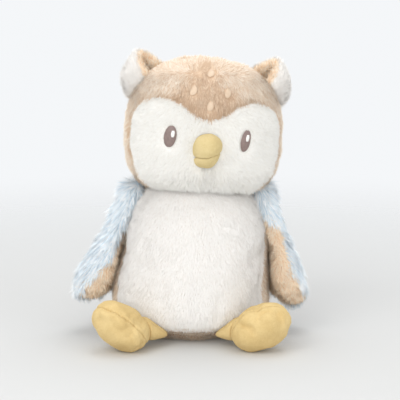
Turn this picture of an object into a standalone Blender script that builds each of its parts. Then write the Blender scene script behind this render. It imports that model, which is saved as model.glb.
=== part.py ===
# A sitting plush owl, about 24 cm tall: cloth skins over polyester filling, with a
# pouch of pellets in the seat. Metres, +Z up, the face looks towards -Y, and left
# and right are the viewer's. The origin is the middle of the seat on the floor.

import math

import bmesh
import bpy
from mathutils import Matrix, Vector

# Driving dimensions
BODY_HALF_WIDTH = 0.068
BODY_HALF_DEPTH = 0.062
BODY_WIDEST_Z = 0.038
SHOULDER_RADIUS = 0.060  # the ball that the upper body follows
NECK_PIVOT_Z = 0.082  # the middle of that ball, about which the head nods and turns
LEAN_SHARE = 0.0594  # how far the toy leans to the right, as a share of its height
HEAD_HALF_WIDTH = 0.0650
HEAD_HALF_DEPTH = 0.056
HEAD_RISE = 0.097  # the head's middle above the neck pivot
HEAD_UPPER_HEIGHT = 0.0600  # from the head's widest level up
HEAD_LOWER_HEIGHT = 0.0525
HEAD_WIDEST_DROP = 0.009  # below the head's middle
HEAD_ROLL = math.radians(4.0)
HEAD_YAW = math.radians(4.0)

# Cloth, gaps and cuts
PLUSH = 0.0025
SUEDE = 0.0016
GAP = 0.0003
FLOOR_CUT = 0.0005  # how deep a soft form is flattened where it rests
OVERRUN = 0.050  # how far cutters reach past what they cut
SHARP_ANGLE = math.radians(40.0)

# Shape of the soft forms
LARGE_ROWS = 7  # quads along each edge of the cage of the body and the head
SMALL_ROWS = 5  # the same for the limbs, and for hollows and fillings
CORE_ROWS = 3  # and for what lies deepest
BODY_ROUND = 2.8  # exponent of the lower body's outline, where 2 is an ellipse
HEAD_ROUND = 2.4
HEAD_LOWER_ROUND = 3.2  # the cheeks are fuller than the crown

# Neck
NECK_PLAY = 0.0008  # between the head and the ball that it slides on
NECK_OPENING_ANGLE = math.radians(33.0)
PLUG_ANGLE = math.radians(20.0)
PLUG_RISE = 0.007  # above the shoulder ball
BALL_SEGMENTS = 24

# Body panels
SEAT_SEAM_Z = 0.007
SEAT_DROP = 0.003  # the seat is the body's round form, flattened this far above its foot
SIDE_SEAM_Y = -0.0275  # at floor level
SIDE_SEAM_TILT = math.radians(7.0)
BELLY_TURN = math.radians(-4.0)
POUCH_HALF_WIDTH = 0.036
POUCH_HALF_HEIGHT = 0.011
POUCH_CLEAR = 0.0045  # between the pouch and the seat cloth, where filling fits
POUCH_MOUTH_RADIUS = 0.025  # the way in to the pouch from below

# Face outline from the middle of the forehead round to under the neck, as shares of
# the head's half width and of its upper height
FACE_OUTLINE_SHARES = [
    (0.0, 0.108),
    (0.148, 0.158),
    (0.274, 0.245),
    (0.411, 0.327),
    (0.590, 0.360),
    (0.759, 0.306),
    (0.875, 0.197),
    (0.943, 0.017),
    (0.948, -0.190),
    (0.935, -0.386),
    (0.890, -0.582),
    (0.720, -0.815),
    (0.0, -0.96),
]
OUTLINE_STEPS = 2  # points between two entries of the outline
EAR_SEAM_Y = 0.004

# Eyes, glints and forehead drops: embroidery that stands on the cloth
THREAD = 0.0012
EYE_HALF_WIDTH = 0.0053
EYE_HALF_HEIGHT = 0.0091
EYE_X = 0.0295
EYE_Z = -0.0098
EYE_LEAN = math.radians(4.0)
GLINT_HALF_WIDTH = 0.0011
GLINT_HALF_HEIGHT = 0.0026
GLINT_RISE = 0.0024
GLINT_SHIFT = 0.0016
STITCH_SEGMENTS = 14
STITCH_DEPTH = 0.016
DROP_HALF_WIDTH = 0.0028
DROP_HALF_HEIGHT = 0.0042
DROP_POINT_SHARE = 0.55
DROP_SPREAD = 0.0135
DROP_TOP_Z = 0.0405
DROP_SIDE_Z = 0.0272
DROP_LOW_Z = 0.0165

# Beak
BEAK_HALF_WIDTH = 0.012
BEAK_HALF_HEIGHT = 0.0135
BEAK_HALF_DEPTH = 0.0125
BEAK_Z = -0.0185
MOUTH_DROP = 0.0065  # below the beak's middle
MOUTH_TILT = math.radians(12.0)  # the mouth rises to the right
BEAK_ROUND = 2.3
LIP_HALF_WIDTH = 0.0100
LIP_HALF_HEIGHT = 0.0100
LIP_HALF_DEPTH = 0.0098
LIP_RISE = 0.0015  # of the lip's middle above the mouth

# Ears
EAR_X = 0.0500
EAR_Y = 0.004
EAR_Z = 0.0320
EAR_HALF_WIDTH = 0.0205
EAR_HALF_DEPTH = 0.0145
EAR_HALF_LENGTH = 0.0250
EAR_ROUND = 2.0
EAR_TIP_SHARE = 0.55  # how much the ear narrows to its tip
EAR_TILT = math.radians(12.0)
EAR_CLOTH = 0.0021
EAR_OPENING = 0.0078  # from the ear's middle to the plane through its rim
EAR_OPENING_YAW = math.radians(40.0)
EAR_OPENING_PITCH = math.radians(28.0)

# Wings
WING_ROOT = 0.0035  # half the thickness of the sewn edge
WING_SEAM_ANGLE = math.radians(33.0)  # of the shoulder seam above the neck pivot
WING_LENGTH = 0.096
WING_HALF_WIDTH = 0.027
WING_WIDEST_SHARE = 0.8  # of the way down to the tip
WING_ROOT_HALF_WIDTH = 0.010
WING_ROUND = 2.6
WING_THIN_SHARE = 0.5  # within this share of the tip and root, the cloth is thinner
WING_THICKNESS = 0.013
WING_CUP = 0.020  # how far the edges bend in towards the body
WING_TWIST = math.radians(23.0)
WING_CLOTH = 0.0024
WING_BEND_CUTS = 5  # rows and columns in the cutter that follows the bent wing
WING_MARGIN = 0.006  # of that cutter round the wing
WING_SPREAD_LEFT = math.radians(16.2)
WING_SPREAD_RIGHT = math.radians(8.4)

# Legs and feet
HIP_X = 0.021
HIP_Z = 0.0115
LEG_ROOT = 0.0030
LEG_ROOT_HALF_WIDTH = 0.0085
LEG_HALF_WIDTH = 0.0105
LEG_HALF_HEIGHT = 0.0098
LEG_EDGE_SHARE = 0.7  # the power that fills out the leg's ends
LEG_OVERLAP = 0.010  # how far the leg's form runs into the foot before it is cut
FOOT_HALF_LENGTH = 0.0255
FOOT_HALF_WIDTH = 0.0185
FOOT_HALF_HEIGHT = 0.0155
FOOT_ROUND = 2.25
FOOT_X = 0.056
FOOT_Y = -0.072
LEFT_FOOT_RISE = math.radians(37.0)  # of the toe above level
LEFT_FOOT_FACE = math.radians(35.0)  # how far the sole is turned to the front
RIGHT_FOOT_RISE = math.radians(28.0)
RIGHT_FOOT_FACE = math.radians(66.0)

# Colours and roughness of the cloths
CLOTHS = {
    "cream_plush": ((0.86, 0.84, 0.80), 0.95),
    "white_plush": ((0.84, 0.82, 0.78), 0.95),
    "tan_plush": ((0.68, 0.53, 0.40), 0.95),
    "tan_lining": ((0.60, 0.38, 0.21), 0.95),
    "blue_plush": ((0.55, 0.68, 0.78), 0.95),
    "yellow_suede": ((0.76, 0.57, 0.27), 0.8),
    "pale_suede": ((0.80, 0.64, 0.34), 0.8),
    "brown_thread": ((0.20, 0.13, 0.10), 0.55),
    "white_thread": ((0.88, 0.86, 0.82), 0.55),
    "cream_thread": ((0.80, 0.68, 0.52), 0.55),
    "filling": ((0.90, 0.90, 0.88), 1.0),
    "pouch_cloth": ((0.80, 0.79, 0.75), 0.9),
}

UP = Vector((0.0, 0.0, 1.0))
FRONT = Vector((0.0, -1.0, 0.0))


def clear_scene():
    for obj in list(bpy.data.objects):
        bpy.data.objects.remove(obj, do_unlink=True)


def new_collection(name):
    collection = bpy.data.collections.new(name)
    bpy.context.scene.collection.children.link(collection)
    return collection


def new_material(name):
    color, roughness = CLOTHS[name]
    material = bpy.data.materials.new(name)
    material.use_nodes = True
    shader = material.node_tree.nodes["Principled BSDF"]
    shader.inputs["Base Color"].default_value = (*color, 1.0)
    shader.inputs["Roughness"].default_value = roughness
    shader.inputs["Metallic"].default_value = 0.0
    return material


clear_scene()
OWL = new_collection("plush_owl")
CUTTERS = new_collection("cutters")
MATERIALS = {name: new_material(name) for name in CLOTHS}


def sign(side):
    return -1.0 if side == "left" else 1.0


def frame(name, location, axes=None, parent=None):
    # An empty that carries the pieces of one joint
    empty = bpy.data.objects.new(name, None)
    OWL.objects.link(empty)
    empty.parent = parent
    turn = (axes or Matrix.Identity(3)).to_4x4()
    empty.matrix_local = Matrix.Translation(Vector(location)) @ turn
    return empty


def new_object(name, mesh, parent=None):
    obj = bpy.data.objects.new(name, mesh)
    obj.parent = parent
    return obj


def as_piece(obj, cloth):
    OWL.objects.link(obj)
    obj.data.materials.clear()
    obj.data.materials.append(MATERIALS[cloth])
    obj.data.shade_smooth()
    obj.data.set_sharp_from_angle(angle=SHARP_ANGLE)
    return obj


def as_cutter(obj):
    CUTTERS.objects.link(obj)
    obj.hide_render = True
    obj.display_type = "WIRE"
    return obj


def cut(obj, *cutters):
    for cutter in cutters:
        add_boolean(obj, cutter, "DIFFERENCE")
    return obj


def keep(obj, *cutters):
    for cutter in cutters:
        add_boolean(obj, cutter, "INTERSECT")
    return obj


def add_boolean(obj, cutter, operation):
    modifier = obj.modifiers.new(cutter.name, "BOOLEAN")
    modifier.operation = operation
    modifier.solver = "EXACT"
    modifier.object = cutter


# Rounded cages: the grid of a cube pushed out to unit radius
def rounded_cage(rows):
    bm = bmesh.new()
    bmesh.ops.create_cube(bm, size=2.0)
    bmesh.ops.subdivide_edges(bm, edges=bm.edges, cuts=rows - 1, use_grid_fill=True)
    for vertex in bm.verts:
        even = [math.tan(along * math.pi / 4.0) for along in vertex.co]
        vertex.co = Vector(even).normalized()
    bmesh.ops.triangulate(bm, faces=bm.faces)  # so that nested forms crease alike
    mesh = bpy.data.meshes.new("cage")
    bm.to_mesh(mesh)
    bm.free()
    return mesh


CAGES = {rows: rounded_cage(rows) for rows in (CORE_ROWS, SMALL_ROWS, LARGE_ROWS)}


def soft_form(name, place, rows=LARGE_ROWS, parent=None):
    # A closed soft form: place() moves each point of the unit cage to its seat
    mesh = CAGES[rows].copy()
    for vertex in mesh.vertices:
        vertex.co = place(vertex.co.copy())
    return new_object(name, mesh, parent)


def rounded_point(d, half_x, half_y, up, down, roundness, low_roundness=None):
    # A point of a rounded box-like ellipsoid that may differ above and below
    power = 2.0 / (roundness if d.z > 0.0 else low_roundness or roundness)
    ring = math.hypot(d.x, d.y)
    height = abs(d.z) ** power * (up if d.z > 0 else -down)
    reach = ring ** (power - 1.0)
    return Vector((half_x * d.x * reach, half_y * d.y * reach, height))


# Boxes, balls and cylinders for cutters
def block(name, low, high, parent=None, turn=None):
    bm = bmesh.new()
    bmesh.ops.create_cube(bm, size=1.0)
    low, high = Vector(low), Vector(high)
    for vertex in bm.verts:
        for axis in range(3):
            vertex.co[axis] = low[axis] if vertex.co[axis] < 0 else high[axis]
    if turn:
        bmesh.ops.transform(bm, matrix=turn, verts=bm.verts)
    mesh = bpy.data.meshes.new(name)
    bm.to_mesh(mesh)
    bm.free()
    return as_cutter(new_object(name, mesh, parent))


def ball(name, radius, parent):
    # Its flat faces touch the radius from outside
    reach = radius / math.cos(math.pi / BALL_SEGMENTS) ** 2
    bm = bmesh.new()
    bmesh.ops.create_uvsphere(
        bm, u_segments=BALL_SEGMENTS, v_segments=BALL_SEGMENTS // 2, radius=reach
    )
    mesh = bpy.data.meshes.new(name)
    bm.to_mesh(mesh)
    bm.free()
    return new_object(name, mesh, parent)


def cone(name, low_radius, high_radius, low_z, high_z, parent):
    bm = bmesh.new()
    bmesh.ops.create_cone(
        bm,
        cap_ends=True,
        segments=BALL_SEGMENTS,
        radius1=low_radius,
        radius2=high_radius,
        depth=high_z - low_z,
    )
    bmesh.ops.translate(bm, vec=UP * (low_z + high_z) / 2.0, verts=bm.verts)
    mesh = bpy.data.meshes.new(name)
    bm.to_mesh(mesh)
    bm.free()
    return new_object(name, mesh, parent)


REACH = BODY_HALF_WIDTH + HEAD_HALF_WIDTH + OVERRUN


# Body
def spine_x(z):
    # The sideways shift of the leaning body; it ends at the neck pivot
    return LEAN_SHARE * min(max(z, 0.0), NECK_PIVOT_Z)


def body_half(z, widest, grow):
    # Half width or half depth of the body above its widest level
    radius = SHOULDER_RADIUS + grow
    if z > NECK_PIVOT_Z:
        return math.sqrt(max(radius**2 - (z - NECK_PIVOT_Z) ** 2, 0.0))
    share = (z - BODY_WIDEST_Z) / (NECK_PIVOT_Z - BODY_WIDEST_Z)
    swell = (1.0 + math.cos(math.pi * share)) / 2.0
    return radius + (widest + grow - radius) * swell


def body_point(d, grow=0.0):
    if d.z < 0.0:
        drop = BODY_WIDEST_Z + SEAT_DROP + grow
        point = rounded_point(
            d, BODY_HALF_WIDTH + grow, BODY_HALF_DEPTH + grow, 0.0, drop, BODY_ROUND
        )
        point.z = max(point.z + BODY_WIDEST_Z, -FLOOR_CUT - grow)
    else:
        top = NECK_PIVOT_Z + SHOULDER_RADIUS + grow
        z = BODY_WIDEST_Z + (top - BODY_WIDEST_Z) * d.z
        ring = math.hypot(d.x, d.y)
        half_x = body_half(z, BODY_HALF_WIDTH, grow)
        half_y = body_half(z, BODY_HALF_DEPTH, grow)
        point = Vector((half_x * d.x / ring, half_y * d.y / ring, z))
    point.x += spine_x(point.z)
    return point


def body_form(name, grow=0.0, rows=LARGE_ROWS):
    return soft_form(name, lambda d: body_point(d, grow), rows)


def body_skin_front(x, z):
    # The point of the body's lower front skin at x and z, and its outward normal
    def height(x, y):
        share = math.hypot((x - spine_x(z)) / BODY_HALF_WIDTH, y / BODY_HALF_DEPTH)
        drop = (1.0 - share**BODY_ROUND) ** (1.0 / BODY_ROUND)
        return BODY_WIDEST_Z - (BODY_WIDEST_Z + SEAT_DROP) * drop

    drop = (BODY_WIDEST_Z - z) / (BODY_WIDEST_Z + SEAT_DROP)
    ring = (1.0 - drop**BODY_ROUND) ** (1.0 / BODY_ROUND)
    across = (x - spine_x(z)) / BODY_HALF_WIDTH
    y = -BODY_HALF_DEPTH * math.sqrt(ring**2 - across**2)
    step = GAP
    slope_x = (height(x + step, y) - height(x - step, y)) / (2.0 * step)
    slope_y = (height(x, y + step) - height(x, y - step)) / (2.0 * step)
    return Vector((x, y, z)), Vector((slope_x, slope_y, -1.0)).normalized()


NECK_POINT = Vector((spine_x(NECK_PIVOT_Z), 0.0, NECK_PIVOT_Z))
NECK = frame("neck_pivot", NECK_POINT)
LEAN = Matrix.Rotation(math.atan(LEAN_SHARE), 3, "Y")
NECK_AXIS = frame("neck_axis", (0.0, 0.0, 0.0), LEAN, NECK)

FLOOR = block("floor_cut", (-REACH, -REACH, -OVERRUN), (REACH, REACH, 0.0))
SEAT_BLOCK = block("seat_block", (-REACH, -REACH, -OVERRUN), (REACH, REACH, SEAT_SEAM_Z))
ABOVE_SEAT = block(
    "above_seat", (-REACH, -REACH, SEAT_SEAM_Z + GAP), (REACH, REACH, REACH)
)
SEAM_TURN = Matrix.Rotation(BELLY_TURN, 4, "Z") @ Matrix.Rotation(-SIDE_SEAM_TILT, 4, "X")
SEAM_PLACE = Matrix.Translation((0.0, SIDE_SEAM_Y, 0.0)) @ SEAM_TURN
BELLY_SIDE = block(
    "belly_side", (-REACH, -REACH, -REACH), (REACH, -GAP / 2.0, REACH), turn=SEAM_PLACE
)
BACK_SIDE = block(
    "back_side", (-REACH, GAP / 2.0, -REACH), (REACH, REACH, REACH), turn=SEAM_PLACE
)
NECK_OPENING_RADIUS = SHOULDER_RADIUS * math.sin(NECK_OPENING_ANGLE)
NECK_OPENING = as_cutter(
    cone("neck_opening", NECK_OPENING_RADIUS, NECK_OPENING_RADIUS, 0.0, REACH, NECK_AXIS)
)
BODY_INNER = as_cutter(body_form("body_inner", -PLUSH, SMALL_ROWS))
BODY_CLEAR = as_cutter(body_form("body_clear", GAP))


def side_block(name, side, parent=None, shift=0.0):
    # The half of space on one side of the middle seam
    low = (shift + GAP / 2.0, -REACH, -REACH)
    high = (REACH, REACH, REACH)
    if side == "left":
        low, high = (-REACH, -REACH, -REACH), (shift - GAP / 2.0, REACH, REACH)
    return block(name, low, high, parent)


def make_body():
    belly = body_form("belly_panel")
    keep(cut(belly, BODY_INNER), BELLY_SIDE, ABOVE_SEAT)
    as_piece(cut(belly, NECK_OPENING), "white_plush")
    for side in ("left", "right"):
        back = body_form("back_" + side)
        half = side_block("back_half_" + side, side, shift=spine_x(NECK_PIVOT_Z) / 2.0)
        keep(cut(back, BODY_INNER), BACK_SIDE, ABOVE_SEAT, half)
        as_piece(cut(back, NECK_OPENING), "tan_plush")
    seat = body_form("seat_panel")
    keep(cut(seat, BODY_INNER), SEAT_BLOCK)
    as_piece(cut(seat, FLOOR), "tan_plush")


def pouch_point(d, grow):
    half = POUCH_HALF_WIDTH + grow
    height = POUCH_HALF_HEIGHT + grow
    point = rounded_point(d, half, half, height, height, BODY_ROUND)
    point.z += PLUSH + POUCH_CLEAR + POUCH_HALF_HEIGHT
    return point


def make_body_filling():
    pouch = soft_form("bean_pouch", lambda d: pouch_point(d, 0.0), CORE_ROWS)
    as_piece(pouch, "pouch_cloth")
    room = soft_form("pouch_room", lambda d: pouch_point(d, GAP), CORE_ROWS)
    middle = PLUSH + POUCH_CLEAR + POUCH_HALF_HEIGHT
    mouth = cone(
        "pouch_mouth", POUCH_MOUTH_RADIUS, POUCH_MOUTH_RADIUS, -OVERRUN, middle, None
    )
    stuffing = body_form("body_stuffing", -PLUSH - GAP, SMALL_ROWS)
    as_piece(cut(stuffing, as_cutter(room), as_cutter(mouth)), "filling")


# Head, in its own frame at its middle
HEAD_AXES = Matrix.Rotation(HEAD_ROLL, 3, "Y") @ Matrix.Rotation(HEAD_YAW, 3, "Z")
HEAD_PLACE = LEAN @ Vector((0.0, 0.0, HEAD_RISE))
HEAD = frame("head_frame", HEAD_PLACE, HEAD_AXES, NECK)


def head_point(d, grow=0.0):
    point = rounded_point(
        d,
        HEAD_HALF_WIDTH + grow,
        HEAD_HALF_DEPTH + grow,
        HEAD_UPPER_HEIGHT + grow,
        HEAD_LOWER_HEIGHT + grow,
        HEAD_ROUND,
        HEAD_LOWER_ROUND,
    )
    point.z -= HEAD_WIDEST_DROP
    return point


def head_form(name, grow=0.0, rows=LARGE_ROWS):
    return soft_form(name, lambda d: head_point(d, grow), rows, HEAD)


def head_level(rise):
    # Height and roundness of the part of the head above or below its widest level
    if rise > 0.0:
        return HEAD_UPPER_HEIGHT, HEAD_ROUND
    return HEAD_LOWER_HEIGHT, HEAD_LOWER_ROUND


def head_front(x, z):
    # The point of the head's front skin at x and z, and its outward normal
    rise = z + HEAD_WIDEST_DROP
    height, power = head_level(rise)

    def inside(point):
        level = abs(point.z + HEAD_WIDEST_DROP) / height
        ring = math.hypot(point.x / HEAD_HALF_WIDTH, point.y / HEAD_HALF_DEPTH)
        return ring**power + level**power

    level = min(abs(rise) / height, 1.0)
    ring = (1.0 - level**power) ** (1.0 / power)
    depth = math.sqrt(max(ring**2 - (x / HEAD_HALF_WIDTH) ** 2, 0.0))
    point = Vector((x, -HEAD_HALF_DEPTH * depth, z))
    normal = Vector()
    for axis in range(3):
        step = Vector()
        step[axis] = GAP
        normal[axis] = inside(point + step) - inside(point - step)
    return point, normal.normalized()


def smooth_outline(points, steps):
    # A Catmull-Rom curve through the points, open at both ends
    ends = [2 * points[0] - points[1]] + points + [2 * points[-1] - points[-2]]
    curve = []
    for a, b, c, d in zip(ends, ends[1:], ends[2:], ends[3:]):
        for step in range(steps):
            t = step / steps
            bend = (c - a) * t + (2 * a - 5 * b + 4 * c - d) * t**2
            curve.append(b + (bend + (3 * b - a - 3 * c + d) * t**3) / 2.0)
    return curve + [points[-1]]


def face_cone(name, shrink):
    # A cone from the head's middle through the heart-shaped edge of the face
    half = []
    for across, up in FACE_OUTLINE_SHARES:
        x = across * HEAD_HALF_WIDTH
        z = up * HEAD_UPPER_HEIGHT
        half.append(head_front(x, z)[0])
    half[-1] = Vector((0.0, 0.0, -HEAD_LOWER_HEIGHT))
    half = smooth_outline(half, OUTLINE_STEPS)
    middle = head_front(0.0, BEAK_Z)[0]
    half = [p + (middle - p).normalized() * shrink for p in half]
    mirrored = [Vector((-p.x, p.y, p.z)) for p in half[-2:0:-1]]
    bm = bmesh.new()
    apex = bm.verts.new((0.0, 0.0, 0.0))
    tip = bm.verts.new(middle.normalized() * REACH)
    ring = [bm.verts.new(p.normalized() * REACH) for p in half + mirrored]
    for a, b in zip(ring, ring[1:] + ring[:1]):
        bm.faces.new((apex, b, a))
        bm.faces.new((tip, a, b))
    bmesh.ops.recalc_face_normals(bm, faces=bm.faces)
    mesh = bpy.data.meshes.new(name)
    bm.to_mesh(mesh)
    bm.free()
    return as_cutter(new_object(name, mesh, HEAD))


HEAD_INNER = as_cutter(head_form("head_inner", -PLUSH, SMALL_ROWS))
HEAD_CLEAR = as_cutter(head_form("head_clear", GAP))
HEAD_THREAD = as_cutter(head_form("head_thread", GAP + THREAD))
SHOULDER_BALL = as_cutter(ball("shoulder_ball", SHOULDER_RADIUS + NECK_PLAY, NECK_AXIS))


def make_head_skin():
    face_edge = face_cone("face_edge", 0.0)
    face_inside = face_cone("face_inside", GAP)
    low = (-REACH, -REACH, -REACH)
    high = (REACH, REACH, REACH)
    front = block("hood_front_block", low, (REACH, EAR_SEAM_Y, REACH), HEAD)
    back = block("hood_back_block", (-REACH, EAR_SEAM_Y + GAP, -REACH), high, HEAD)
    hood = head_form("hood_front")
    cut(hood, HEAD_INNER, face_edge, SHOULDER_BALL)
    as_piece(keep(hood, front), "tan_plush")
    for side in ("left", "right"):
        half = side_block("head_half_" + side, side, HEAD)
        face = head_form("face_" + side)
        cut(face, HEAD_INNER, SHOULDER_BALL)
        as_piece(keep(face, face_inside, half), "cream_plush")
        hood = head_form("hood_back_" + side)
        cut(hood, HEAD_INNER, SHOULDER_BALL)
        as_piece(keep(hood, back, half), "tan_plush")


def plug_solid(name, grow):
    # A round wad of filling whose top follows a ball about the neck pivot
    top = SHOULDER_RADIUS + PLUG_RISE + grow
    radius = SHOULDER_RADIUS * math.sin(PLUG_ANGLE) + grow
    plug = cone(name, radius, radius, SHOULDER_RADIUS / 2.0, top + OVERRUN, NECK_AXIS)
    return keep(plug, as_cutter(ball(name + "_top", top, NECK_AXIS)))


def make_neck_plug():
    base = as_cutter(ball("plug_base", SHOULDER_RADIUS - PLUSH, NECK_AXIS))
    as_piece(cut(plug_solid("neck_plug", 0.0), base), "filling")


def make_head_filling():
    stuffing = head_form("head_stuffing", -PLUSH - GAP, SMALL_ROWS)
    room = as_cutter(plug_solid("plug_room", NECK_PLAY))
    as_piece(cut(stuffing, SHOULDER_BALL, room), "filling")


def stitch_axes(normal, lean):
    # Axes of a patch on the skin: z out along the normal, y up the head
    right = UP.cross(normal).normalized()
    up = normal.cross(right)
    axes = Matrix((right, up, normal)).transposed()
    return axes @ Matrix.Rotation(-lean, 3, "Z")


def stitched_patch(name, x, z, half_width, half_height, lean=0.0, point_share=0.0):
    # An upright oval or drop, through the skin at x and z of the head
    place, normal = head_front(x, z)
    bm = bmesh.new()
    bmesh.ops.create_cone(
        bm,
        cap_ends=True,
        segments=STITCH_SEGMENTS,
        radius1=1.0,
        radius2=1.0,
        depth=STITCH_DEPTH,
    )
    for vertex in bm.verts:
        narrow = 1.0 - point_share * max(vertex.co.y, 0.0)
        vertex.co.x *= half_width * narrow
        vertex.co.y *= half_height
    mesh = bpy.data.meshes.new(name)
    bm.to_mesh(mesh)
    bm.free()
    obj = new_object(name, mesh, HEAD)
    turn = stitch_axes(normal, lean).to_4x4()
    obj.matrix_local = Matrix.Translation(place) @ turn
    return obj


def make_eyes():
    for side in ("left", "right"):
        x = sign(side) * EYE_X
        spot = (x + GLINT_SHIFT, EYE_Z + GLINT_RISE)
        glint = stitched_patch(
            "eye_glint_" + side, *spot, GLINT_HALF_WIDTH, GLINT_HALF_HEIGHT, EYE_LEAN
        )
        room = stitched_patch(
            "glint_room_" + side,
            *spot,
            GLINT_HALF_WIDTH + GAP,
            GLINT_HALF_HEIGHT + GAP,
            EYE_LEAN,
        )
        eye = stitched_patch(
            "eye_" + side, x, EYE_Z, EYE_HALF_WIDTH, EYE_HALF_HEIGHT, EYE_LEAN
        )
        as_piece(keep(cut(glint, HEAD_CLEAR), HEAD_THREAD), "white_thread")
        as_piece(keep(cut(eye, HEAD_CLEAR, as_cutter(room)), HEAD_THREAD), "brown_thread")


def make_forehead_drops():
    spots = {
        "top": (0.0, DROP_TOP_Z),
        "left": (-DROP_SPREAD, DROP_SIDE_Z),
        "right": (DROP_SPREAD, DROP_SIDE_Z),
        "low": (0.0, DROP_LOW_Z),
    }
    for word, (x, z) in spots.items():
        drop = stitched_patch(
            "forehead_drop_" + word,
            x,
            z,
            DROP_HALF_WIDTH,
            DROP_HALF_HEIGHT,
            point_share=DROP_POINT_SHARE,
        )
        as_piece(keep(cut(drop, HEAD_CLEAR), HEAD_THREAD), "cream_thread")


def beak_point(d, grow, half_width, half_height, half_depth, middle):
    point = rounded_point(
        d,
        half_width + grow,
        half_depth + grow,
        half_height + grow,
        half_height + grow,
        BEAK_ROUND,
    )
    return point + middle


def make_beak():
    middle = head_front(0.0, BEAK_Z)[0]
    mouth_z = BEAK_Z - MOUTH_DROP
    sizes = (BEAK_HALF_WIDTH, BEAK_HALF_HEIGHT, BEAK_HALF_DEPTH, middle)

    def form(name, grow, rows):
        return soft_form(name, lambda d: beak_point(d, grow, *sizes), rows, HEAD)

    tilt = Matrix.Rotation(-MOUTH_TILT, 4, "Y")
    mouth = frame("mouth_frame", Vector((0.0, 0.0, mouth_z)), None, HEAD)
    below = block("mouth_block", (-REACH, -REACH, -REACH), (REACH, REACH, 0.0), mouth, tilt)
    inner = as_cutter(form("beak_inner", -SUEDE, CORE_ROWS))
    upper = form("beak_upper", 0.0, SMALL_ROWS)
    as_piece(cut(upper, inner, below, HEAD_CLEAR), "pale_suede")
    stuffing = form("beak_stuffing", -SUEDE - GAP, CORE_ROWS)
    as_piece(cut(stuffing, below, HEAD_CLEAR), "filling")
    low = (-REACH, -REACH, -GAP)
    above = block("lip_block", low, (REACH, REACH, REACH), mouth, tilt)
    lip_middle = head_front(0.0, mouth_z + LIP_RISE)[0]
    lip_sizes = (LIP_HALF_WIDTH, LIP_HALF_HEIGHT, LIP_HALF_DEPTH, lip_middle)
    lip = soft_form(
        "beak_lower", lambda d: beak_point(d, 0.0, *lip_sizes), SMALL_ROWS, HEAD
    )
    as_piece(cut(lip, above, HEAD_CLEAR), "pale_suede")


# Ears: a cup of two cloths whose foot is cut to the head
def ear_point(d, grow):
    point = rounded_point(
        d,
        EAR_HALF_WIDTH + grow,
        EAR_HALF_DEPTH + grow,
        EAR_HALF_LENGTH + grow,
        EAR_HALF_LENGTH + grow,
        EAR_ROUND,
    )
    narrow = 1.0 - EAR_TIP_SHARE * max(d.z, 0.0) ** 2
    point.x *= narrow
    point.y *= narrow
    return point


def make_ear(side):
    turn = Matrix.Rotation(sign(side) * EAR_TILT, 3, "Y")
    place = Vector((sign(side) * EAR_X, EAR_Y, EAR_Z))
    ear = frame("ear_frame_" + side, place, turn, HEAD)

    def form(name, grow):
        return soft_form(name, lambda d: ear_point(d, grow), SMALL_ROWS, ear)

    yaw = Matrix.Rotation(-sign(side) * EAR_OPENING_YAW, 4, "Z")
    pitch = Matrix.Rotation(-EAR_OPENING_PITCH, 4, "X")
    opening = block(
        "ear_opening_" + side,
        (-OVERRUN, -OVERRUN, -OVERRUN),
        (OVERRUN, -EAR_OPENING, OVERRUN),
        ear,
        yaw @ pitch,
    )
    back = form("ear_back_" + side, 0.0)
    inner = as_cutter(form("ear_inner_" + side, -EAR_CLOTH))
    as_piece(cut(back, inner, opening, HEAD_CLEAR), "white_plush")
    lining = form("ear_lining_" + side, -EAR_CLOTH - GAP)
    hollow = as_cutter(form("ear_hollow_" + side, -2.0 * EAR_CLOTH - GAP))
    as_piece(cut(lining, hollow, opening, HEAD_CLEAR), "tan_lining")


# Wings: leaf-shaped pads of two cloths, drawn flat and bent
def wing_point(d, grow):
    # The wing hangs from its seam at z = 0 down to its tip, its face towards +X
    top = WING_ROOT + grow
    foot = -WING_LENGTH - grow
    z = (top + foot) / 2.0 + (top - foot) / 2.0 * d.z
    down = (1.0 - d.z) / 2.0
    swell = math.sin(math.pi / 2.0 * down / WING_WIDEST_SHARE)
    width = WING_ROOT_HALF_WIDTH + (WING_HALF_WIDTH - WING_ROOT_HALF_WIDTH) * swell
    ring = math.hypot(d.x, d.y)
    thin = grow * min(ring / WING_THIN_SHARE, 1.0)
    x = (WING_THICKNESS / 2.0 * ring + thin) * d.x / ring
    y = (width * ring ** (2.0 / WING_ROUND) + thin) * d.y / ring
    return Vector((x, y, z))


def bent(point, side):
    # Cups the wing round the body, turns its front edge out and mirrors the left one
    down = min(max(-point.z / WING_LENGTH, 0.0), 1.0)
    across = point.y / WING_HALF_WIDTH
    bend = WING_CUP * (1.0 - across**2) - math.tan(WING_TWIST) * point.y
    return Vector((sign(side) * (point.x + down * bend), point.y, point.z))


def bent_mesh(obj, side):
    for vertex in obj.data.vertices:
        vertex.co = bent(vertex.co, side)
    if side == "left":
        obj.data.flip_normals()
    return obj


def wing_face_side(name, low_x, side, wing):
    # The space outside the seam round the wing's edge, bent as the wing is
    half_y = WING_HALF_WIDTH + WING_MARGIN
    low = Vector((low_x, -half_y, -WING_LENGTH - WING_MARGIN))
    high = Vector((OVERRUN, half_y, WING_ROOT + WING_MARGIN))
    bm = bmesh.new()
    bmesh.ops.create_cube(bm, size=1.0)
    bmesh.ops.subdivide_edges(
        bm, edges=bm.edges, cuts=WING_BEND_CUTS, use_grid_fill=True
    )
    bmesh.ops.triangulate(bm, faces=bm.faces, quad_method="FIXED")
    for vertex in bm.verts:
        vertex.co = (low + high) / 2.0 + Vector(a * b for a, b in zip(vertex.co, high - low))
    mesh = bpy.data.meshes.new(name)
    bm.to_mesh(mesh)
    bm.free()
    return bent_mesh(as_cutter(new_object(name, mesh, wing)), side)


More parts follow.
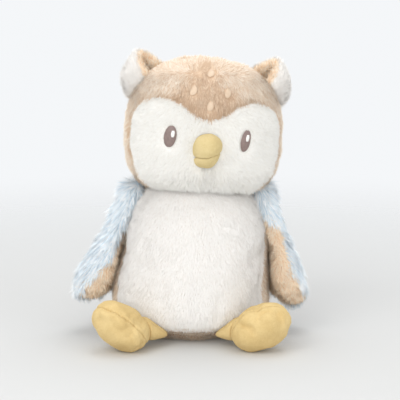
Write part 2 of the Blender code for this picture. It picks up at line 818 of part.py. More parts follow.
def make_wing(side):
    spread = WING_SPREAD_LEFT if side == "left" else WING_SPREAD_RIGHT
    reach = SHOULDER_RADIUS + GAP + WING_ROOT
    across = sign(side) * reach * math.cos(WING_SEAM_ANGLE)
    seam = Vector((across, 0.0, reach * math.sin(WING_SEAM_ANGLE)))
    turn = Matrix.Rotation(-sign(side) * spread, 3, "Y")
    wing = frame("wing_seam_" + side, NECK_POINT + seam, turn)

    def form(name, grow):
        flat = soft_form(name, lambda d: wing_point(d, grow), SMALL_ROWS, wing)
        return bent_mesh(flat, side)

    face_side = wing_face_side("wing_face_side_" + side, GAP / 2.0, side, wing)
    face_room = wing_face_side("wing_face_room_" + side, -GAP / 2.0, side, wing)
    inner = as_cutter(form("wing_inner_" + side, -WING_CLOTH))
    outer = keep(cut(form("wing_outer_" + side, 0.0), inner), face_side)
    as_piece(cut(outer, BODY_CLEAR), "blue_plush")
    lining = cut(form("wing_lining_" + side, 0.0), inner, face_room)
    as_piece(cut(lining, BODY_CLEAR), "tan_lining")
    wadding = form("wing_wadding_" + side, -WING_CLOTH - GAP)
    as_piece(cut(wadding, BODY_CLEAR), "filling")


# Legs and feet
def foot_axes(side):
    # Columns: along the foot to the toe, across it, and up from the sole
    rise = LEFT_FOOT_RISE if side == "left" else RIGHT_FOOT_RISE
    face = LEFT_FOOT_FACE if side == "left" else RIGHT_FOOT_FACE
    toe = Vector((sign(side) * math.cos(rise), 0.0, math.sin(rise)))
    down = Vector((sign(side) * math.sin(rise), 0.0, -math.cos(rise)))
    sole = down * math.cos(face) + FRONT * math.sin(face)
    across = (-sole).cross(toe)
    return Matrix((toe, across, -sole)).transposed()


def foot_point(d, grow):
    return rounded_point(
        d,
        FOOT_HALF_LENGTH + grow,
        FOOT_HALF_WIDTH + grow,
        FOOT_HALF_HEIGHT + grow,
        FOOT_HALF_HEIGHT + grow,
        FOOT_ROUND,
    )


def foot_place(side):
    # The foot's middle, at the height where its form reaches just below the floor
    axes = foot_axes(side)
    low = min((axes @ foot_point(v.co, 0.0)).z for v in CAGES[SMALL_ROWS].vertices)
    return Vector((sign(side) * FOOT_X, FOOT_Y, -low - FLOOR_CUT)), axes


def leg_point(d, length):
    # The leg runs along +X from its flat sewn root to its round end
    share = (1.0 + d.x) / 2.0
    ring = math.hypot(d.y, d.z)
    edge = ring**LEG_EDGE_SHARE
    swell = share * (2.0 - share)
    half_y = LEG_ROOT_HALF_WIDTH + (LEG_HALF_WIDTH - LEG_ROOT_HALF_WIDTH) * swell
    half_z = LEG_ROOT + (LEG_HALF_HEIGHT - LEG_ROOT) * swell
    x = -LEG_ROOT + (length + LEG_ROOT) * share
    return Vector((x, half_y * edge * d.y / ring, half_z * edge * d.z / ring))


def make_leg(side):
    skin, normal = body_skin_front(sign(side) * HIP_X + spine_x(HIP_Z), HIP_Z)
    seam = skin + normal * (GAP + LEG_ROOT)
    middle, axes = foot_place(side)
    along = middle - seam
    length = along.length - FOOT_HALF_HEIGHT + LEG_OVERLAP
    along.normalize()
    across = UP.cross(along).normalized()
    leg_axes = Matrix((along, across, along.cross(across))).transposed()
    hip = frame("hip_seam_" + side, seam, leg_axes)
    into_leg = leg_axes.transposed()
    foot = frame("foot_frame_" + side, into_leg @ (middle - seam), into_leg @ axes, hip)

    def form(name, grow, rows=SMALL_ROWS):
        return soft_form(name, lambda d: foot_point(d, grow), rows, foot)

    clear = as_cutter(form("foot_clear_" + side, GAP))
    leg = soft_form("leg_" + side, lambda d: leg_point(d, length), SMALL_ROWS, hip)
    as_piece(cut(leg, clear, BODY_CLEAR, FLOOR), "yellow_suede")
    inner = as_cutter(form("foot_inner_" + side, -SUEDE, CORE_ROWS))
    low = (-OVERRUN, -OVERRUN, -OVERRUN)
    high = (OVERRUN, OVERRUN, OVERRUN)
    over = block("foot_over_" + side, (-OVERRUN, -OVERRUN, GAP / 2.0), high, foot)
    under = block("foot_under_" + side, low, (OVERRUN, OVERRUN, -GAP / 2.0), foot)
    upper = keep(cut(form("foot_upper_" + side, 0.0), inner), over)
    as_piece(cut(upper, FLOOR), "yellow_suede")
    sole = keep(cut(form("foot_sole_" + side, 0.0), inner), under)
    as_piece(cut(sole, FLOOR), "yellow_suede")
    as_piece(form("foot_stuffing_" + side, -SUEDE - GAP, CORE_ROWS), "filling")


make_body()
make_body_filling()
make_head_skin()
make_neck_plug()
make_head_filling()
make_eyes()
make_forehead_drops()
make_beak()
for side in ("left", "right"):
    make_ear(side)
    make_wing(side)
    make_leg(side)
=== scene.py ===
# Plush owl: padded skins, combed pile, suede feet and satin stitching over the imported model
from functools import partial
from math import radians, sqrt

import bmesh
import bpy
import numpy as np
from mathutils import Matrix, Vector, noise
from mathutils.bvhtree import BVHTree
from mathutils.geometry import convex_hull_2d


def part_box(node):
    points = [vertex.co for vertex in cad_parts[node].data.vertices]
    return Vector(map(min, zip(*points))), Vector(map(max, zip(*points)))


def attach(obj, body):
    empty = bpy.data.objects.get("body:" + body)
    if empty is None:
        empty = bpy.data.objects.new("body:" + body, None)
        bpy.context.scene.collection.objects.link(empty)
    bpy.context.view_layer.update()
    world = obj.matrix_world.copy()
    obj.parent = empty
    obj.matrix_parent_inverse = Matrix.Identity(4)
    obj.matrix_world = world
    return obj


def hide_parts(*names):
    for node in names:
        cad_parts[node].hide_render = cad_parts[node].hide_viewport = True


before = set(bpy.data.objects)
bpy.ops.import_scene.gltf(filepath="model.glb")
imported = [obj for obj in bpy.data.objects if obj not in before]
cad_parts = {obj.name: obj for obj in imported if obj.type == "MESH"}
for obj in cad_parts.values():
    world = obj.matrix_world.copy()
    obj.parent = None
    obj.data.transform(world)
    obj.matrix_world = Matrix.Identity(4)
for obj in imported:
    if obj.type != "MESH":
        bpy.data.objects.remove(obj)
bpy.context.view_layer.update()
print("frame loaded:", len(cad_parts), "nodes")
scene = bpy.context.scene


# small helpers for nodes, meshes and modifiers

nodeGrid = dict(columns=9, across=190, down=280)


def addNode(tree, kind, settings=None, feeds=None):
    # a short kind is a shader node
    node = tree.nodes.new(kind if "Node" in kind else "ShaderNode" + kind)
    row, column = divmod(len(tree.nodes), nodeGrid["columns"])
    node.location = (column * nodeGrid["across"], -row * nodeGrid["down"])
    for key, value in (settings or {}).items():
        setattr(node, key, value)
    for key, value in (feeds or {}).items():
        if isinstance(value, bpy.types.NodeSocket):
            tree.links.new(value, node.inputs[key])
        else:
            node.inputs[key].default_value = value
    return node


def mathNode(tree, operation, *feeds):
    return addNode(tree, "Math", {"operation": operation}, dict(enumerate(feeds))).outputs[0]


def vectorNode(tree, operation, *feeds):
    node = addNode(tree, "VectorMath", {"operation": operation}, dict(enumerate(feeds)))
    return node.outputs["Value" if operation in ("DOT_PRODUCT", "LENGTH") else "Vector"]


def scaled(tree, vector, amount):
    return addNode(tree, "VectorMath", {"operation": "SCALE"}, {"Vector": vector, "Scale": amount}).outputs["Vector"]


def linkObject(name, mesh):
    made = bpy.data.objects.new(name, mesh)
    scene.collection.objects.link(made)
    return made


def meshOf(name, points, faces, edges=()):
    mesh = bpy.data.meshes.new(name)
    mesh.from_pydata([tuple(p) for p in points], list(edges), faces)
    mesh.update()
    return mesh


def settle(thing):
    # the modifiers' result becomes the thing's mesh, and the modifiers are taken off
    graph = bpy.context.evaluated_depsgraph_get()
    mesh = bpy.data.meshes.new_from_object(thing.evaluated_get(graph), depsgraph=graph)
    thing.modifiers.clear()
    thing.data = mesh


def runTree(thing, tree, values):
    # Geometry Nodes on a thing, their inputs set by socket identifier
    modifier = thing.modifiers.new(tree.name, "NODES")
    modifier.node_group = tree
    for item in tree.interface.items_tree:
        if item.item_type == "SOCKET" and item.in_out == "INPUT" and item.name in values:
            modifier[item.identifier] = values[item.name]
    settle(thing)


def readVectors(items, name):
    values = np.empty(len(items) * 3)
    items.foreach_get(name, values)
    return values.reshape(-1, 3)


def pointsOf(mesh):
    return readVectors(mesh.vertices, "co")


def normalsOf(mesh):
    return readVectors(mesh.vertex_normals, "vector")


def setPoints(mesh, points):
    mesh.vertices.foreach_set("co", np.ascontiguousarray(points).ravel())
    mesh.update()


def shadeSmooth(mesh):
    mesh.polygons.foreach_set("use_smooth", [True] * len(mesh.polygons))


def editMesh(mesh, change):
    work = bmesh.new()
    work.from_mesh(mesh)
    change(work)
    work.to_mesh(mesh)
    work.free()
    mesh.update()


def unit(vectors):
    least = 1e-9
    return vectors / np.maximum(np.linalg.norm(vectors, axis=-1, keepdims=True), least)


def treeOf(mesh):
    return BVHTree.FromPolygons([v.co for v in mesh.vertices], [p.vertices for p in mesh.polygons])


def storeLayer(mesh, name, values):
    kind, key = ("FLOAT_VECTOR", "vector") if values.ndim == 2 else ("FLOAT", "value")
    layer = mesh.attributes.new(name, kind, "POINT")
    layer.data.foreach_set(key, np.ascontiguousarray(values, dtype=np.float32).ravel())


def thicken(thing, thickness, offset):
    solid = thing.modifiers.new("Solidify", "SOLIDIFY")
    solid.thickness = thickness
    solid.offset = offset
    settle(thing)


def joinNodes(name, nodeNames):
    # the CAD meshes of several nodes as one object
    points, faces = [], []
    for nodeName in nodeNames:
        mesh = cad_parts[nodeName].data
        faces += [[len(points) + i for i in p.vertices] for p in mesh.polygons]
        points += [v.co.copy() for v in mesh.vertices]
    return linkObject(name, meshOf(name, points, faces))


# materials

def addSockets(tree, inOut, kind, names):
    return [tree.interface.new_socket(name, in_out=inOut, socket_type="NodeSocket" + kind) for name in names]


def newGroup(name, inputs, outputs):
    # inputs by name: a number, a vector of 3 or a colour of 4
    group = bpy.data.node_groups.new(name, "ShaderNodeTree")
    for socketName, value in inputs.items():
        kind = "Float" if isinstance(value, float) else "Vector" if len(value) == 3 else "Color"
        addSockets(group, "INPUT", kind, [socketName])[0].default_value = value
    for socketName, kind in outputs.items():
        addSockets(group, "OUTPUT", kind, [socketName])
    return group, addNode(group, "NodeGroupInput").outputs, addNode(group, "NodeGroupOutput").inputs


def addNoise(tree, vector, scale, detail, roughness):
    return addNode(tree, "TexNoise", feeds={
        "Vector": vector, "Scale": scale, "Detail": detail, "Roughness": roughness}).outputs


def buildNapGroup():
    # cloth seen between the hairs: soft blotches, fine nap and a height for the bump
    blotchTop, blotchRound, darkest, palest = 0.75, 0.2, 0.32, 0.66
    group, get, out = newGroup("napOfCloth", {
        "Vector": (0, 0, 0), "Pale": (0.9, 0.9, 0.9, 1), "Deep": (0.6, 0.6, 0.6, 1), "Blotch Scale": 60.0,
        "Nap Scale": 1400.0, "Nap Share": 0.4}, {"Color": "Color", "Height": "Float"})
    blotch = addNoise(group, get["Vector"], get["Blotch Scale"], 3.0, 0.55)["Fac"]
    nap = addNoise(group, get["Vector"], get["Nap Scale"], 2.0, 0.6)["Fac"]
    soft = mathNode(group, "SMOOTH_MIN", blotch, blotchTop, blotchRound)
    both = addNode(group, "Mix", feeds={"Factor": get["Nap Share"], "A": soft, "B": nap}).outputs[0]
    spread = addNode(group, "MapRange", {"interpolation_type": "SMOOTHSTEP"}, {
        "Value": both, "From Min": darkest, "From Max": palest}).outputs[0]
    colour = addNode(group, "Mix", {"data_type": "RGBA"}, {
        "Factor": spread, "A": get["Deep"], "B": get["Pale"]}).outputs["Result"]
    group.links.new(colour, out["Color"])
    group.links.new(both, out["Height"])
    return group


def buildStrandGroup():
    # streaks along the hairs vary their roughness
    group, get, out = newGroup("strandsOfHair", {
        "Vector": (0, 0, 0), "Streak Scale": 900.0, "Rough From": 0.7, "Rough To": 1.0}, {"Roughness": "Float"})
    streaks = addNoise(group, get["Vector"], get["Streak Scale"], 2.0, 0.6)["Fac"]
    rough = addNode(group, "MapRange", feeds={
        "Value": streaks, "From Min": 0.3, "From Max": 0.7, "To Min": get["Rough From"], "To Max": get["Rough To"]})
    group.links.new(rough.outputs[0], out["Roughness"])
    return group


napGroup = buildNapGroup()
strandGroup = buildStrandGroup()


def newMaterial(name):
    material = bpy.data.materials.new(name)
    material.use_nodes = True
    tree = material.node_tree
    return material, tree, tree.nodes["Principled BSDF"], addNode(tree, "TexCoord").outputs["Object"]


def setShader(shader, values):
    for name, value in values.items():
        shader.inputs[name].default_value = value


def addNap(tree, shader, place, look):
    # gives the shader the cloth's relief and returns its colour
    nap = addNode(tree, "Group", {"node_tree": napGroup}, {
        "Vector": place, "Pale": (*look["pale"], 1), "Deep": (*look.get("deep", look["pale"]), 1),
        "Blotch Scale": look.get("blotch", 60.0), "Nap Scale": look.get("nap", 1400.0),
        "Nap Share": look.get("napShare", 0.4)})
    bump = addNode(tree, "Bump", feeds={
        "Height": nap.outputs["Height"], "Strength": look.get("bump", 0.4), "Distance": look.get("relief", 0.0004)})
    tree.links.new(bump.outputs["Normal"], shader.inputs["Normal"])
    return nap.outputs["Color"]


def addStrands(tree, shader, place, streakScale, roughFrom):
    strands = addNode(tree, "Group", {"node_tree": strandGroup}, {
        "Vector": place, "Streak Scale": streakScale, "Rough From": roughFrom, "Rough To": 1.0})
    tree.links.new(strands.outputs["Roughness"], shader.inputs["Roughness"])


def clothMaterial(name, look):
    material, tree, shader, place = newMaterial(name)
    tree.links.new(addNap(tree, shader, place, look), shader.inputs["Base Color"])
    setShader(shader, {
        "Roughness": look.get("rough", 0.95), "Specular IOR Level": look.get("specular", 0.15),
        "Sheen Weight": look["sheen"], "Sheen Roughness": look.get("sheenRough", 0.5),
        "Sheen Tint": (*look["pale"], 1)})
    return material


def hairMaterial(name, colour, look):
    # one hair tone; a pile mixes three of them hair by hair
    material, tree, shader, place = newMaterial(name)
    addStrands(tree, shader, place, streakScale=900.0, roughFrom=0.75)
    setShader(shader, {
        "Base Color": (*colour, 1), "Specular IOR Level": 0.2, "Sheen Weight": look["sheen"], "Sheen Roughness": 0.5,
        "Sheen Tint": (*look.get("sheenTint", (1, 1, 1)), 1)})
    return material


def fillingMaterial(name, look):
    # fibre or pellets inside a seam: one colour, with relief and roughness from noise
    material, tree, shader, place = newMaterial(name)
    addNap(tree, shader, place, look)
    addStrands(tree, shader, place, streakScale=look["nap"], roughFrom=0.7)
    setShader(shader, {"Base Color": (*look["pale"], 1)})
    return material


def threadMaterial(name, pale, deep):
    return clothMaterial(name, {"pale": pale, "deep": deep, "blotch": 400.0, "nap": 5000.0, "napShare": 0.6,
            "bump": 0.2, "relief": 0.0001, "rough": 0.45, "specular": 0.45, "sheen": 0.1})


def plushSet(name, look):
    words = ("HairLight", "HairMiddle", "HairDark")
    return {"slot": look.get("slot", name + "_plush"), "backing": clothMaterial(name + "Backing", look),
        "hairs": [hairMaterial(name + word, colour, look) for word, colour in zip(words, look["tones"])]}


# each backing cloth's pale and deep colours sit darker than its hairs: painted shade between the hair roots
plushLooks = dict(
    cream=dict(pale=(0.9, 0.88, 0.84), deep=(0.82, 0.79, 0.73), sheen=0.25,
        tones=[(0.97, 0.96, 0.925), (0.95, 0.935, 0.895), (0.92, 0.895, 0.845)]),
    white=dict(pale=(0.9, 0.86, 0.82), deep=(0.82, 0.77, 0.72), sheen=0.25,
        tones=[(0.965, 0.945, 0.915), (0.955, 0.93, 0.895), (0.93, 0.89, 0.85)]),
    tan=dict(pale=(0.76, 0.58, 0.42), deep=(0.62, 0.43, 0.28), sheen=0.5, sheenTint=(1, 0.95, 0.88),
        tones=[(0.91, 0.81, 0.69), (0.83, 0.67, 0.51), (0.7, 0.51, 0.35)]),
    lining=dict(slot="tan_lining", pale=(0.84, 0.63, 0.44), deep=(0.7, 0.48, 0.3), sheen=0.3,
        sheenTint=(1, 0.92, 0.84), tones=[(0.98, 0.86, 0.7), (0.95, 0.75, 0.54), (0.82, 0.57, 0.36)]),
    # the ears' copy of the tan lining has lighter tones than the wings': painted light against the shade inside the
    # ear's cup
    ear=dict(slot="tan_lining", pale=(0.9, 0.7, 0.5), deep=(0.78, 0.56, 0.37), sheen=0.3,
        sheenTint=(1, 0.92, 0.84), tones=[(1.0, 0.9, 0.76), (0.98, 0.8, 0.6), (0.88, 0.63, 0.41)]),
    blue=dict(pale=(0.72, 0.82, 0.9), deep=(0.56, 0.68, 0.78), sheen=0.45,
        tones=[(0.96, 0.975, 0.985), (0.84, 0.915, 0.955), (0.64, 0.75, 0.84)]),
)
plush = {name: plushSet(name, look) for name, look in plushLooks.items()}
suede = {
    "foot": clothMaterial("footSuede", dict(
        pale=(0.72, 0.545, 0.265), deep=(0.62, 0.445, 0.195), blotch=55.0, nap=900.0, napShare=0.3,
        bump=0.35, relief=0.0005, rough=0.85, sheen=0.45, sheenRough=0.4)),
    "beak": clothMaterial("beakSuede", dict(
        pale=(0.68, 0.55, 0.29), deep=(0.6, 0.47, 0.225), blotch=90.0, nap=1100.0, napShare=0.35,
        bump=0.3, relief=0.0004, rough=0.85, sheen=0.4, sheenRough=0.4)),
}
threads = dict(
    brown=threadMaterial("brownThread", (0.28, 0.205, 0.185), (0.19, 0.135, 0.12)),
    white=threadMaterial("whiteThread", (0.93, 0.92, 0.89), (0.8, 0.78, 0.74)),
    cream=threadMaterial("creamThread", (0.715, 0.56, 0.41), (0.6, 0.44, 0.305)),
)
fibre = fillingMaterial("polyesterFibre", dict(
    pale=(0.88, 0.88, 0.86), blotch=120.0, nap=900.0, napShare=0.5, bump=0.6, relief=0.0012))
pouchCloth = fillingMaterial("pelletPouch", dict(
    pale=(0.8, 0.78, 0.73), blotch=300.0, nap=2200.0, napShare=0.7, bump=0.6, relief=0.0006))
for nodeName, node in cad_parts.items():
    if any(word in nodeName for word in ("stuffing", "wadding", "plug", "pouch")):
        for slot in node.material_slots:
            slot.link = "OBJECT"
            slot.material = pouchCloth if "pouch" in nodeName else fibre
print("materials made:", len(bpy.data.materials))


# padded skins from the CAD solids

def keepOutermost(work):
    # drops the walls of rooms inside the shape
    left, largest = set(work.verts), set()
    while left:
        stack, island = [left.pop()], set()
        while stack:
            vert = stack.pop()
            island.add(vert)
            for edge in vert.link_edges:
                other = edge.other_vert(vert)
                if other in left:
                    left.discard(other)
                    stack.append(other)
        if len(island) > len(largest):
            largest = island
    bmesh.ops.delete(work, geom=[v for v in work.verts if v not in largest], context="VERTS")


def voxelShape(name, nodeNames, voxel, rounds):
    # one closed mesh around several CAD nodes, smoothed
    thing = joinNodes(name, nodeNames)
    remesh = thing.modifiers.new("Remesh", "REMESH")
    remesh.mode = "VOXEL"
    remesh.voxel_size = voxel
    settle(thing)
    editMesh(thing.data, keepOutermost)

    def smooth(work):
        for _ in range(rounds):
            bmesh.ops.smooth_vert(
                work, verts=work.verts, factor=0.5, use_axis_x=True, use_axis_y=True, use_axis_z=True)
    editMesh(thing.data, smooth)
    return thing


def panelDistances(mesh, panelNames):
    # distance of every point to each panel's CAD node
    trees = [treeOf(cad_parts[name].data) for name in panelNames]
    return np.array([[tree.find_nearest(v.co)[3] for tree in trees] for v in mesh.vertices])


def seamDistance(distances):
    # how far along the surface a point lies from the seam between its two nearest panels
    near = np.sort(distances, axis=1)
    return np.sqrt(np.maximum(near[:, 1] ** 2 - near[:, 0] ** 2, 0))


clothLook = {"quality": 4, "mass": 0.1, "tension_stiffness": 8.0, "compression_stiffness": 8.0,
    "bending_stiffness": 0.3, "use_pressure": True, "vertex_group_mass": "sewn"}
clothSteps, leastPin = 20, 0.01


def inflate(thing, shape, pins):
    # cloth blown up a little between its sewn seams, each point's way capped
    mesh = thing.data
    before = pointsOf(mesh)
    group = thing.vertex_groups.new(name="sewn")
    for index in np.nonzero(pins > leastPin)[0]:
        group.add([int(index)], float(pins[index]), "REPLACE")
    modifier = thing.modifiers.new("Cloth", "CLOTH")
    cloth = modifier.settings
    for key, value in clothLook.items():
        setattr(cloth, key, value)
    cloth.uniform_pressure_force = shape["pressure"]
    cloth.shrink_min = -shape.get("slack", 0.02)
    cloth.effector_weights.gravity = 0
    modifier.collision_settings.use_self_collision = False
    for step in range(clothSteps):
        scene.frame_set(step + 1)
    graph = bpy.context.evaluated_depsgraph_get()
    way = pointsOf(thing.evaluated_get(graph).data) - before
    scene.frame_set(1)
    thing.modifiers.clear()
    thing.vertex_groups.clear()
    far = np.linalg.norm(way, axis=1, keepdims=True)
    setPoints(mesh, before + unit(way) * np.minimum(far, shape["cap"]))


def subdivide(thing, levels):
    modifier = thing.modifiers.new("Subdivision", "SUBSURF")
    modifier.levels = modifier.render_levels = levels
    settle(thing)


def lumps(points, size, seed):
    # smooth bumps and hollows, about -1 to 1
    return np.array([noise.noise(Vector(p) / size + Vector((seed, 2 * seed, -seed))) for p in points])


def evenly(points):
    return np.ones(len(points))


def rampUp(values, low, high):
    share = np.clip((values - low) / (high - low), 0, 1)
    return share * share * (3 - 2 * share)


def hump(values, middle, width):
    return np.exp(-((values - middle) / width) ** 2)


def pathDistance(points, path):
    # distance of every point to a line of straight pieces
    nearest = np.full(len(points), 1.0)
    for start, end in zip(path, path[1:]):
        start, way = np.array(start), np.array(end) - np.array(start)
        share = np.clip((points - start) @ way / (way @ way), 0, 1)
        nearest = np.minimum(nearest, np.linalg.norm(points - start - share[:, None] * way, axis=1))
    return nearest


def padSkin(shape):
    # a whole soft form: remeshed, blown up between seams, then grooved and dented
    nodes = [*shape["panels"], shape["core"]] if "core" in shape else shape["panels"]
    thing = voxelShape(shape["name"], nodes, shape["voxel"], shape.get("smooth", 3))
    reach = seamDistance(panelDistances(thing.data, shape["panels"]))
    if "pressure" in shape:
        inflate(thing, shape, np.clip(1 - reach / shape["pinWidth"], 0, 1))
    subdivide(thing, shape.get("levels", 1))
    points = pointsOf(thing.data)
    normals = normalsOf(thing.data)
    distances = panelDistances(thing.data, shape["panels"])
    reach = seamDistance(distances)
    dent, width = shape["groove"]
    depth = dent * hump(reach, 0, width) * shape.get("seamShare", evenly)(points)
    height, size, seed = shape["lump"]
    wave = height * lumps(points, size, seed)
    if "ridge" in shape:
        height, width = shape["ridge"]
        depth = depth - height * hump(reach, 0, width)
    for centre, radius, dent in shape.get("dents", ()):
        depth = depth + dent * hump(np.linalg.norm((points - centre) / radius, axis=1), 0, 1)
    for path, width, dent in shape.get("creases", ()):
        depth = depth + dent * hump(pathDistance(points, path), 0, width)
    if "fuller" in shape:
        panel, amount, width = shape["fuller"]
        depth = depth - amount * (distances.argmin(axis=1) == panel) * np.clip(reach / width, 0, 1)
    points = points + normals * (wave - depth)[:, None]
    if "bend" in shape:
        shape["bend"](points)
    points[:, 2] = np.maximum(points[:, 2], 0)  # flat where it sits on the table
    setPoints(thing.data, points)
    shadeSmooth(thing.data)
    print("padded:", shape["name"], len(thing.data.vertices), "points")
    return thing, distances


def splitPanels(thing, distances, panelNames, shift=None):
    # one open sheet for each panel: a face belongs to the panel nearest its corners
    mesh = thing.data
    reach = seamDistance(distances)
    if shift:
        distances = distances + shift(pointsOf(mesh))
    owner = np.array([np.argmin(distances[list(p.vertices)].mean(axis=0)) for p in mesh.polygons])
    points = pointsOf(mesh)
    sheets = {}
    for index, panelName in enumerate(panelNames):
        faces = [list(mesh.polygons[i].vertices) for i in np.nonzero(owner == index)[0]]
        used = sorted({v for face in faces for v in face})
        where = {v: i for i, v in enumerate(used)}
        sheet = meshOf(panelName, points[used], [[where[v] for v in face] for face in faces])
        shadeSmooth(sheet)
        sheets[panelName] = (sheet, reach[used])
    return sheets


# pile: combed hairs set into a skin by Geometry Nodes

def bladeMesh(rings, bow):
    # a flat tapering hair one unit wide and one long, bowed towards the skin
    taper = 0.35
    points, faces = [], []
    for ring in range(rings):
        along = ring / rings
        half = 0.5 * (1 - taper * along)
        points += [(-half, bow * along ** 2, along), (half, bow * along ** 2, along)]
        ends = (2 * ring + 3, 2 * ring + 2) if ring < rings - 1 else (2 * ring + 2,)
        faces.append((2 * ring, 2 * ring + 1, *ends))
    return meshOf("blade", [*points, (0, bow, 1)], faces)


pileInputs = dict(density=1e6, length=0.005, spread=0.25, width=0.0005, lean=0.9, leanSpread=0.2,
    jitter=0.3, clump=0.9, clumpSize=0.008, clearGap=0.0004, fade=0.006, shade=0.7,
    sink=0.0003, roll=0.2, light=0.35, dark=0.25)
shortest, thinnest, thickest, rubbedOff = 0.25, 0.7, 1.3, 0.01


def buildPileTree():
    tree = bpy.data.node_groups.new("combedPile", "GeometryNodeTree")
    addSockets(tree, "INPUT", "Geometry", ["Geometry"])
    addSockets(tree, "INPUT", "Object", ["blade", "keepClear"])
    for socket, value in zip(addSockets(tree, "INPUT", "Float", pileInputs), pileInputs.values()):
        socket.default_value = value
    addSockets(tree, "INPUT", "Int", ["seed"])
    addSockets(tree, "INPUT", "Material", ["lightHair", "middleHair", "darkHair"])
    addSockets(tree, "OUTPUT", "Geometry", ["Geometry"])
    get, out = addNode(tree, "NodeGroupInput").outputs, addNode(tree, "NodeGroupOutput")

    arrow = "FLOAT_VECTOR"
    calc, vector, scale = (partial(act, tree) for act in (mathNode, vectorNode, scaled))

    def add(kind, settings=None, feeds=None):
        return addNode(tree, "GeometryNode" + kind, settings, feeds).outputs[0]

    def named(name, kind="FLOAT"):
        return add("InputNamedAttribute", {"data_type": kind}, {"Name": name})

    def chance(low, high, shift, kind="FLOAT"):
        node = addNode(tree, "FunctionNodeRandomValue", {"data_type": kind})
        spots = [s for s in node.inputs if s.enabled and s.name in ("Min", "Max")]
        spots[0].default_value, spots[1].default_value = low, high
        tree.links.new(calc("ADD", get["seed"], shift), node.inputs["Seed"])
        return next(s for s in node.outputs if s.enabled)

    roots = addNode(tree, "GeometryNodeDistributePointsOnFaces", {"distribute_method": "RANDOM"}, {
        "Mesh": get["Geometry"], "Density": get["density"], "Seed": get["seed"]}).outputs
    kept = add("StoreNamedAttribute", {"data_type": arrow, "domain": "POINT"}, {
        "Geometry": roots["Points"], "Name": "rootNormal", "Value": roots["Normal"]})
    where = add("InputPosition")

    # combing: the skin's own direction, pushed about in clumps and hair by hair
    waves = addNode(tree, "TexNoise", feeds={
        "Vector": where, "Scale": calc("DIVIDE", 1.0, get["clumpSize"]), "Detail": 1.5}).outputs["Color"]
    swirl = scale(vector("SUBTRACT", waves, (0.5, 0.5, 0.5)), get["clump"])
    stray = scale(chance((-1, -1, -1), (1, 1, 1), 3.0, arrow), get["jitter"])
    combed = vector("ADD", vector("ADD", named("comb", arrow), swirl), stray)
    normal = named("rootNormal", arrow)
    upright = vector("DOT_PRODUCT", combed, normal)
    flat = vector("NORMALIZE", vector("SUBTRACT", combed, scale(normal, upright)))
    lean = calc("ADD", get["lean"], calc("MULTIPLY", chance(-1.0, 1.0, 11.0), get["leanSpread"]))
    lean = calc("ADD", lean, named("flatten"))
    direction = vector("ADD", scale(normal, calc("COSINE", lean)), scale(flat, calc("SINE", lean)))
    rolled = scale(chance((-1, -1, -1), (1, 1, 1), 17.0, arrow), get["roll"])
    side = vector("ADD", vector("CROSS_PRODUCT", direction, normal), rolled)
    turn = addNode(tree, "FunctionNodeAxesToRotation", {"primary_axis": "Z", "secondary_axis": "X"}, {
        "Primary Axis": direction, "Secondary Axis": side}).outputs[0]

    # hairs are short beside stitched pieces and the beak, and none stand on them
    clear = addNode(tree, "GeometryNodeObjectInfo", feeds={"Object": get["keepClear"]}).outputs["Geometry"]
    near = addNode(tree, "GeometryNodeProximity", {"target_element": "FACES"}, {
        0: clear, "Sample Position": where}).outputs
    free = calc("MINIMUM", calc("DIVIDE", calc("SUBTRACT", near["Distance"], get["clearGap"]), get["fade"]), 1.0)
    free = calc("ADD", calc("MULTIPLY", free, 1 - shortest), shortest)
    shorter = add("Switch", {"input_type": "FLOAT"}, {"Switch": near["Is Valid"], "False": 1.0, "True": free})
    stands = calc("GREATER_THAN", shorter, shortest + rubbedOff)
    varied = calc("ADD", calc("MULTIPLY", chance(-1.0, 1.0, 5.0), get["spread"]), 1.0)
    length = calc("MULTIPLY", calc("MULTIPLY", get["length"], named("pileLength")), varied)
    length = calc("MULTIPLY", length, shorter)
    width = calc("MULTIPLY", get["width"], chance(thinnest, thickest, 7.0))
    size = addNode(tree, "CombineXYZ", feeds={"X": width, "Y": length, "Z": length}).outputs[0]
    tone = add("StoreNamedAttribute", {"data_type": "FLOAT", "domain": "POINT"}, {
        "Geometry": kept, "Name": "tone",
        "Value": calc("ADD", chance(0.0, 1.0, 9.0), named("toneShift"))})
    sunk = add("SetPosition", feeds={
        "Geometry": tone, "Offset": scale(normal, calc("MULTIPLY", get["sink"], -1.0))})
    blade = addNode(tree, "GeometryNodeObjectInfo", feeds={"Object": get["blade"]}).outputs["Geometry"]
    placed = add("InstanceOnPoints", feeds={
        "Points": sunk, "Selection": stands, "Instance": blade, "Rotation": turn, "Scale": size})
    real = add("RealizeInstances", feeds={"Geometry": placed})

    # soft shading: the hairs take most of their normal from the skin they stand on
    mixed = addNode(tree, "Mix", {"data_type": "VECTOR"}, {
        "Factor": get["shade"], "A": add("InputNormal"), "B": normal}).outputs["Result"]
    coat = add("SetMeshNormal", {"mode": "FREE", "domain": "POINT"}, {
        "Mesh": real, "Custom Normal": vector("NORMALIZE", mixed)})
    tones = named("tone")
    isLight = calc("LESS_THAN", tones, get["light"])
    isDark = calc("GREATER_THAN", tones, calc("SUBTRACT", 1.0, get["dark"]))
    for chosen, hair in ((True, "middleHair"), (isLight, "lightHair"), (isDark, "darkHair")):
        coat = add("SetMaterial", feeds={"Geometry": coat, "Selection": chosen, "Material": get[hair]})
    tree.links.new(coat, out.inputs[0])
    return tree


pileTree = buildPileTree()
blades = {"short": linkObject("shortBlade", bladeMesh(rings=2, bow=0.18)),
    "long": linkObject("longBlade", bladeMesh(rings=3, bow=0.24))}
quickShare, tableGap = 0.35, 0.0002


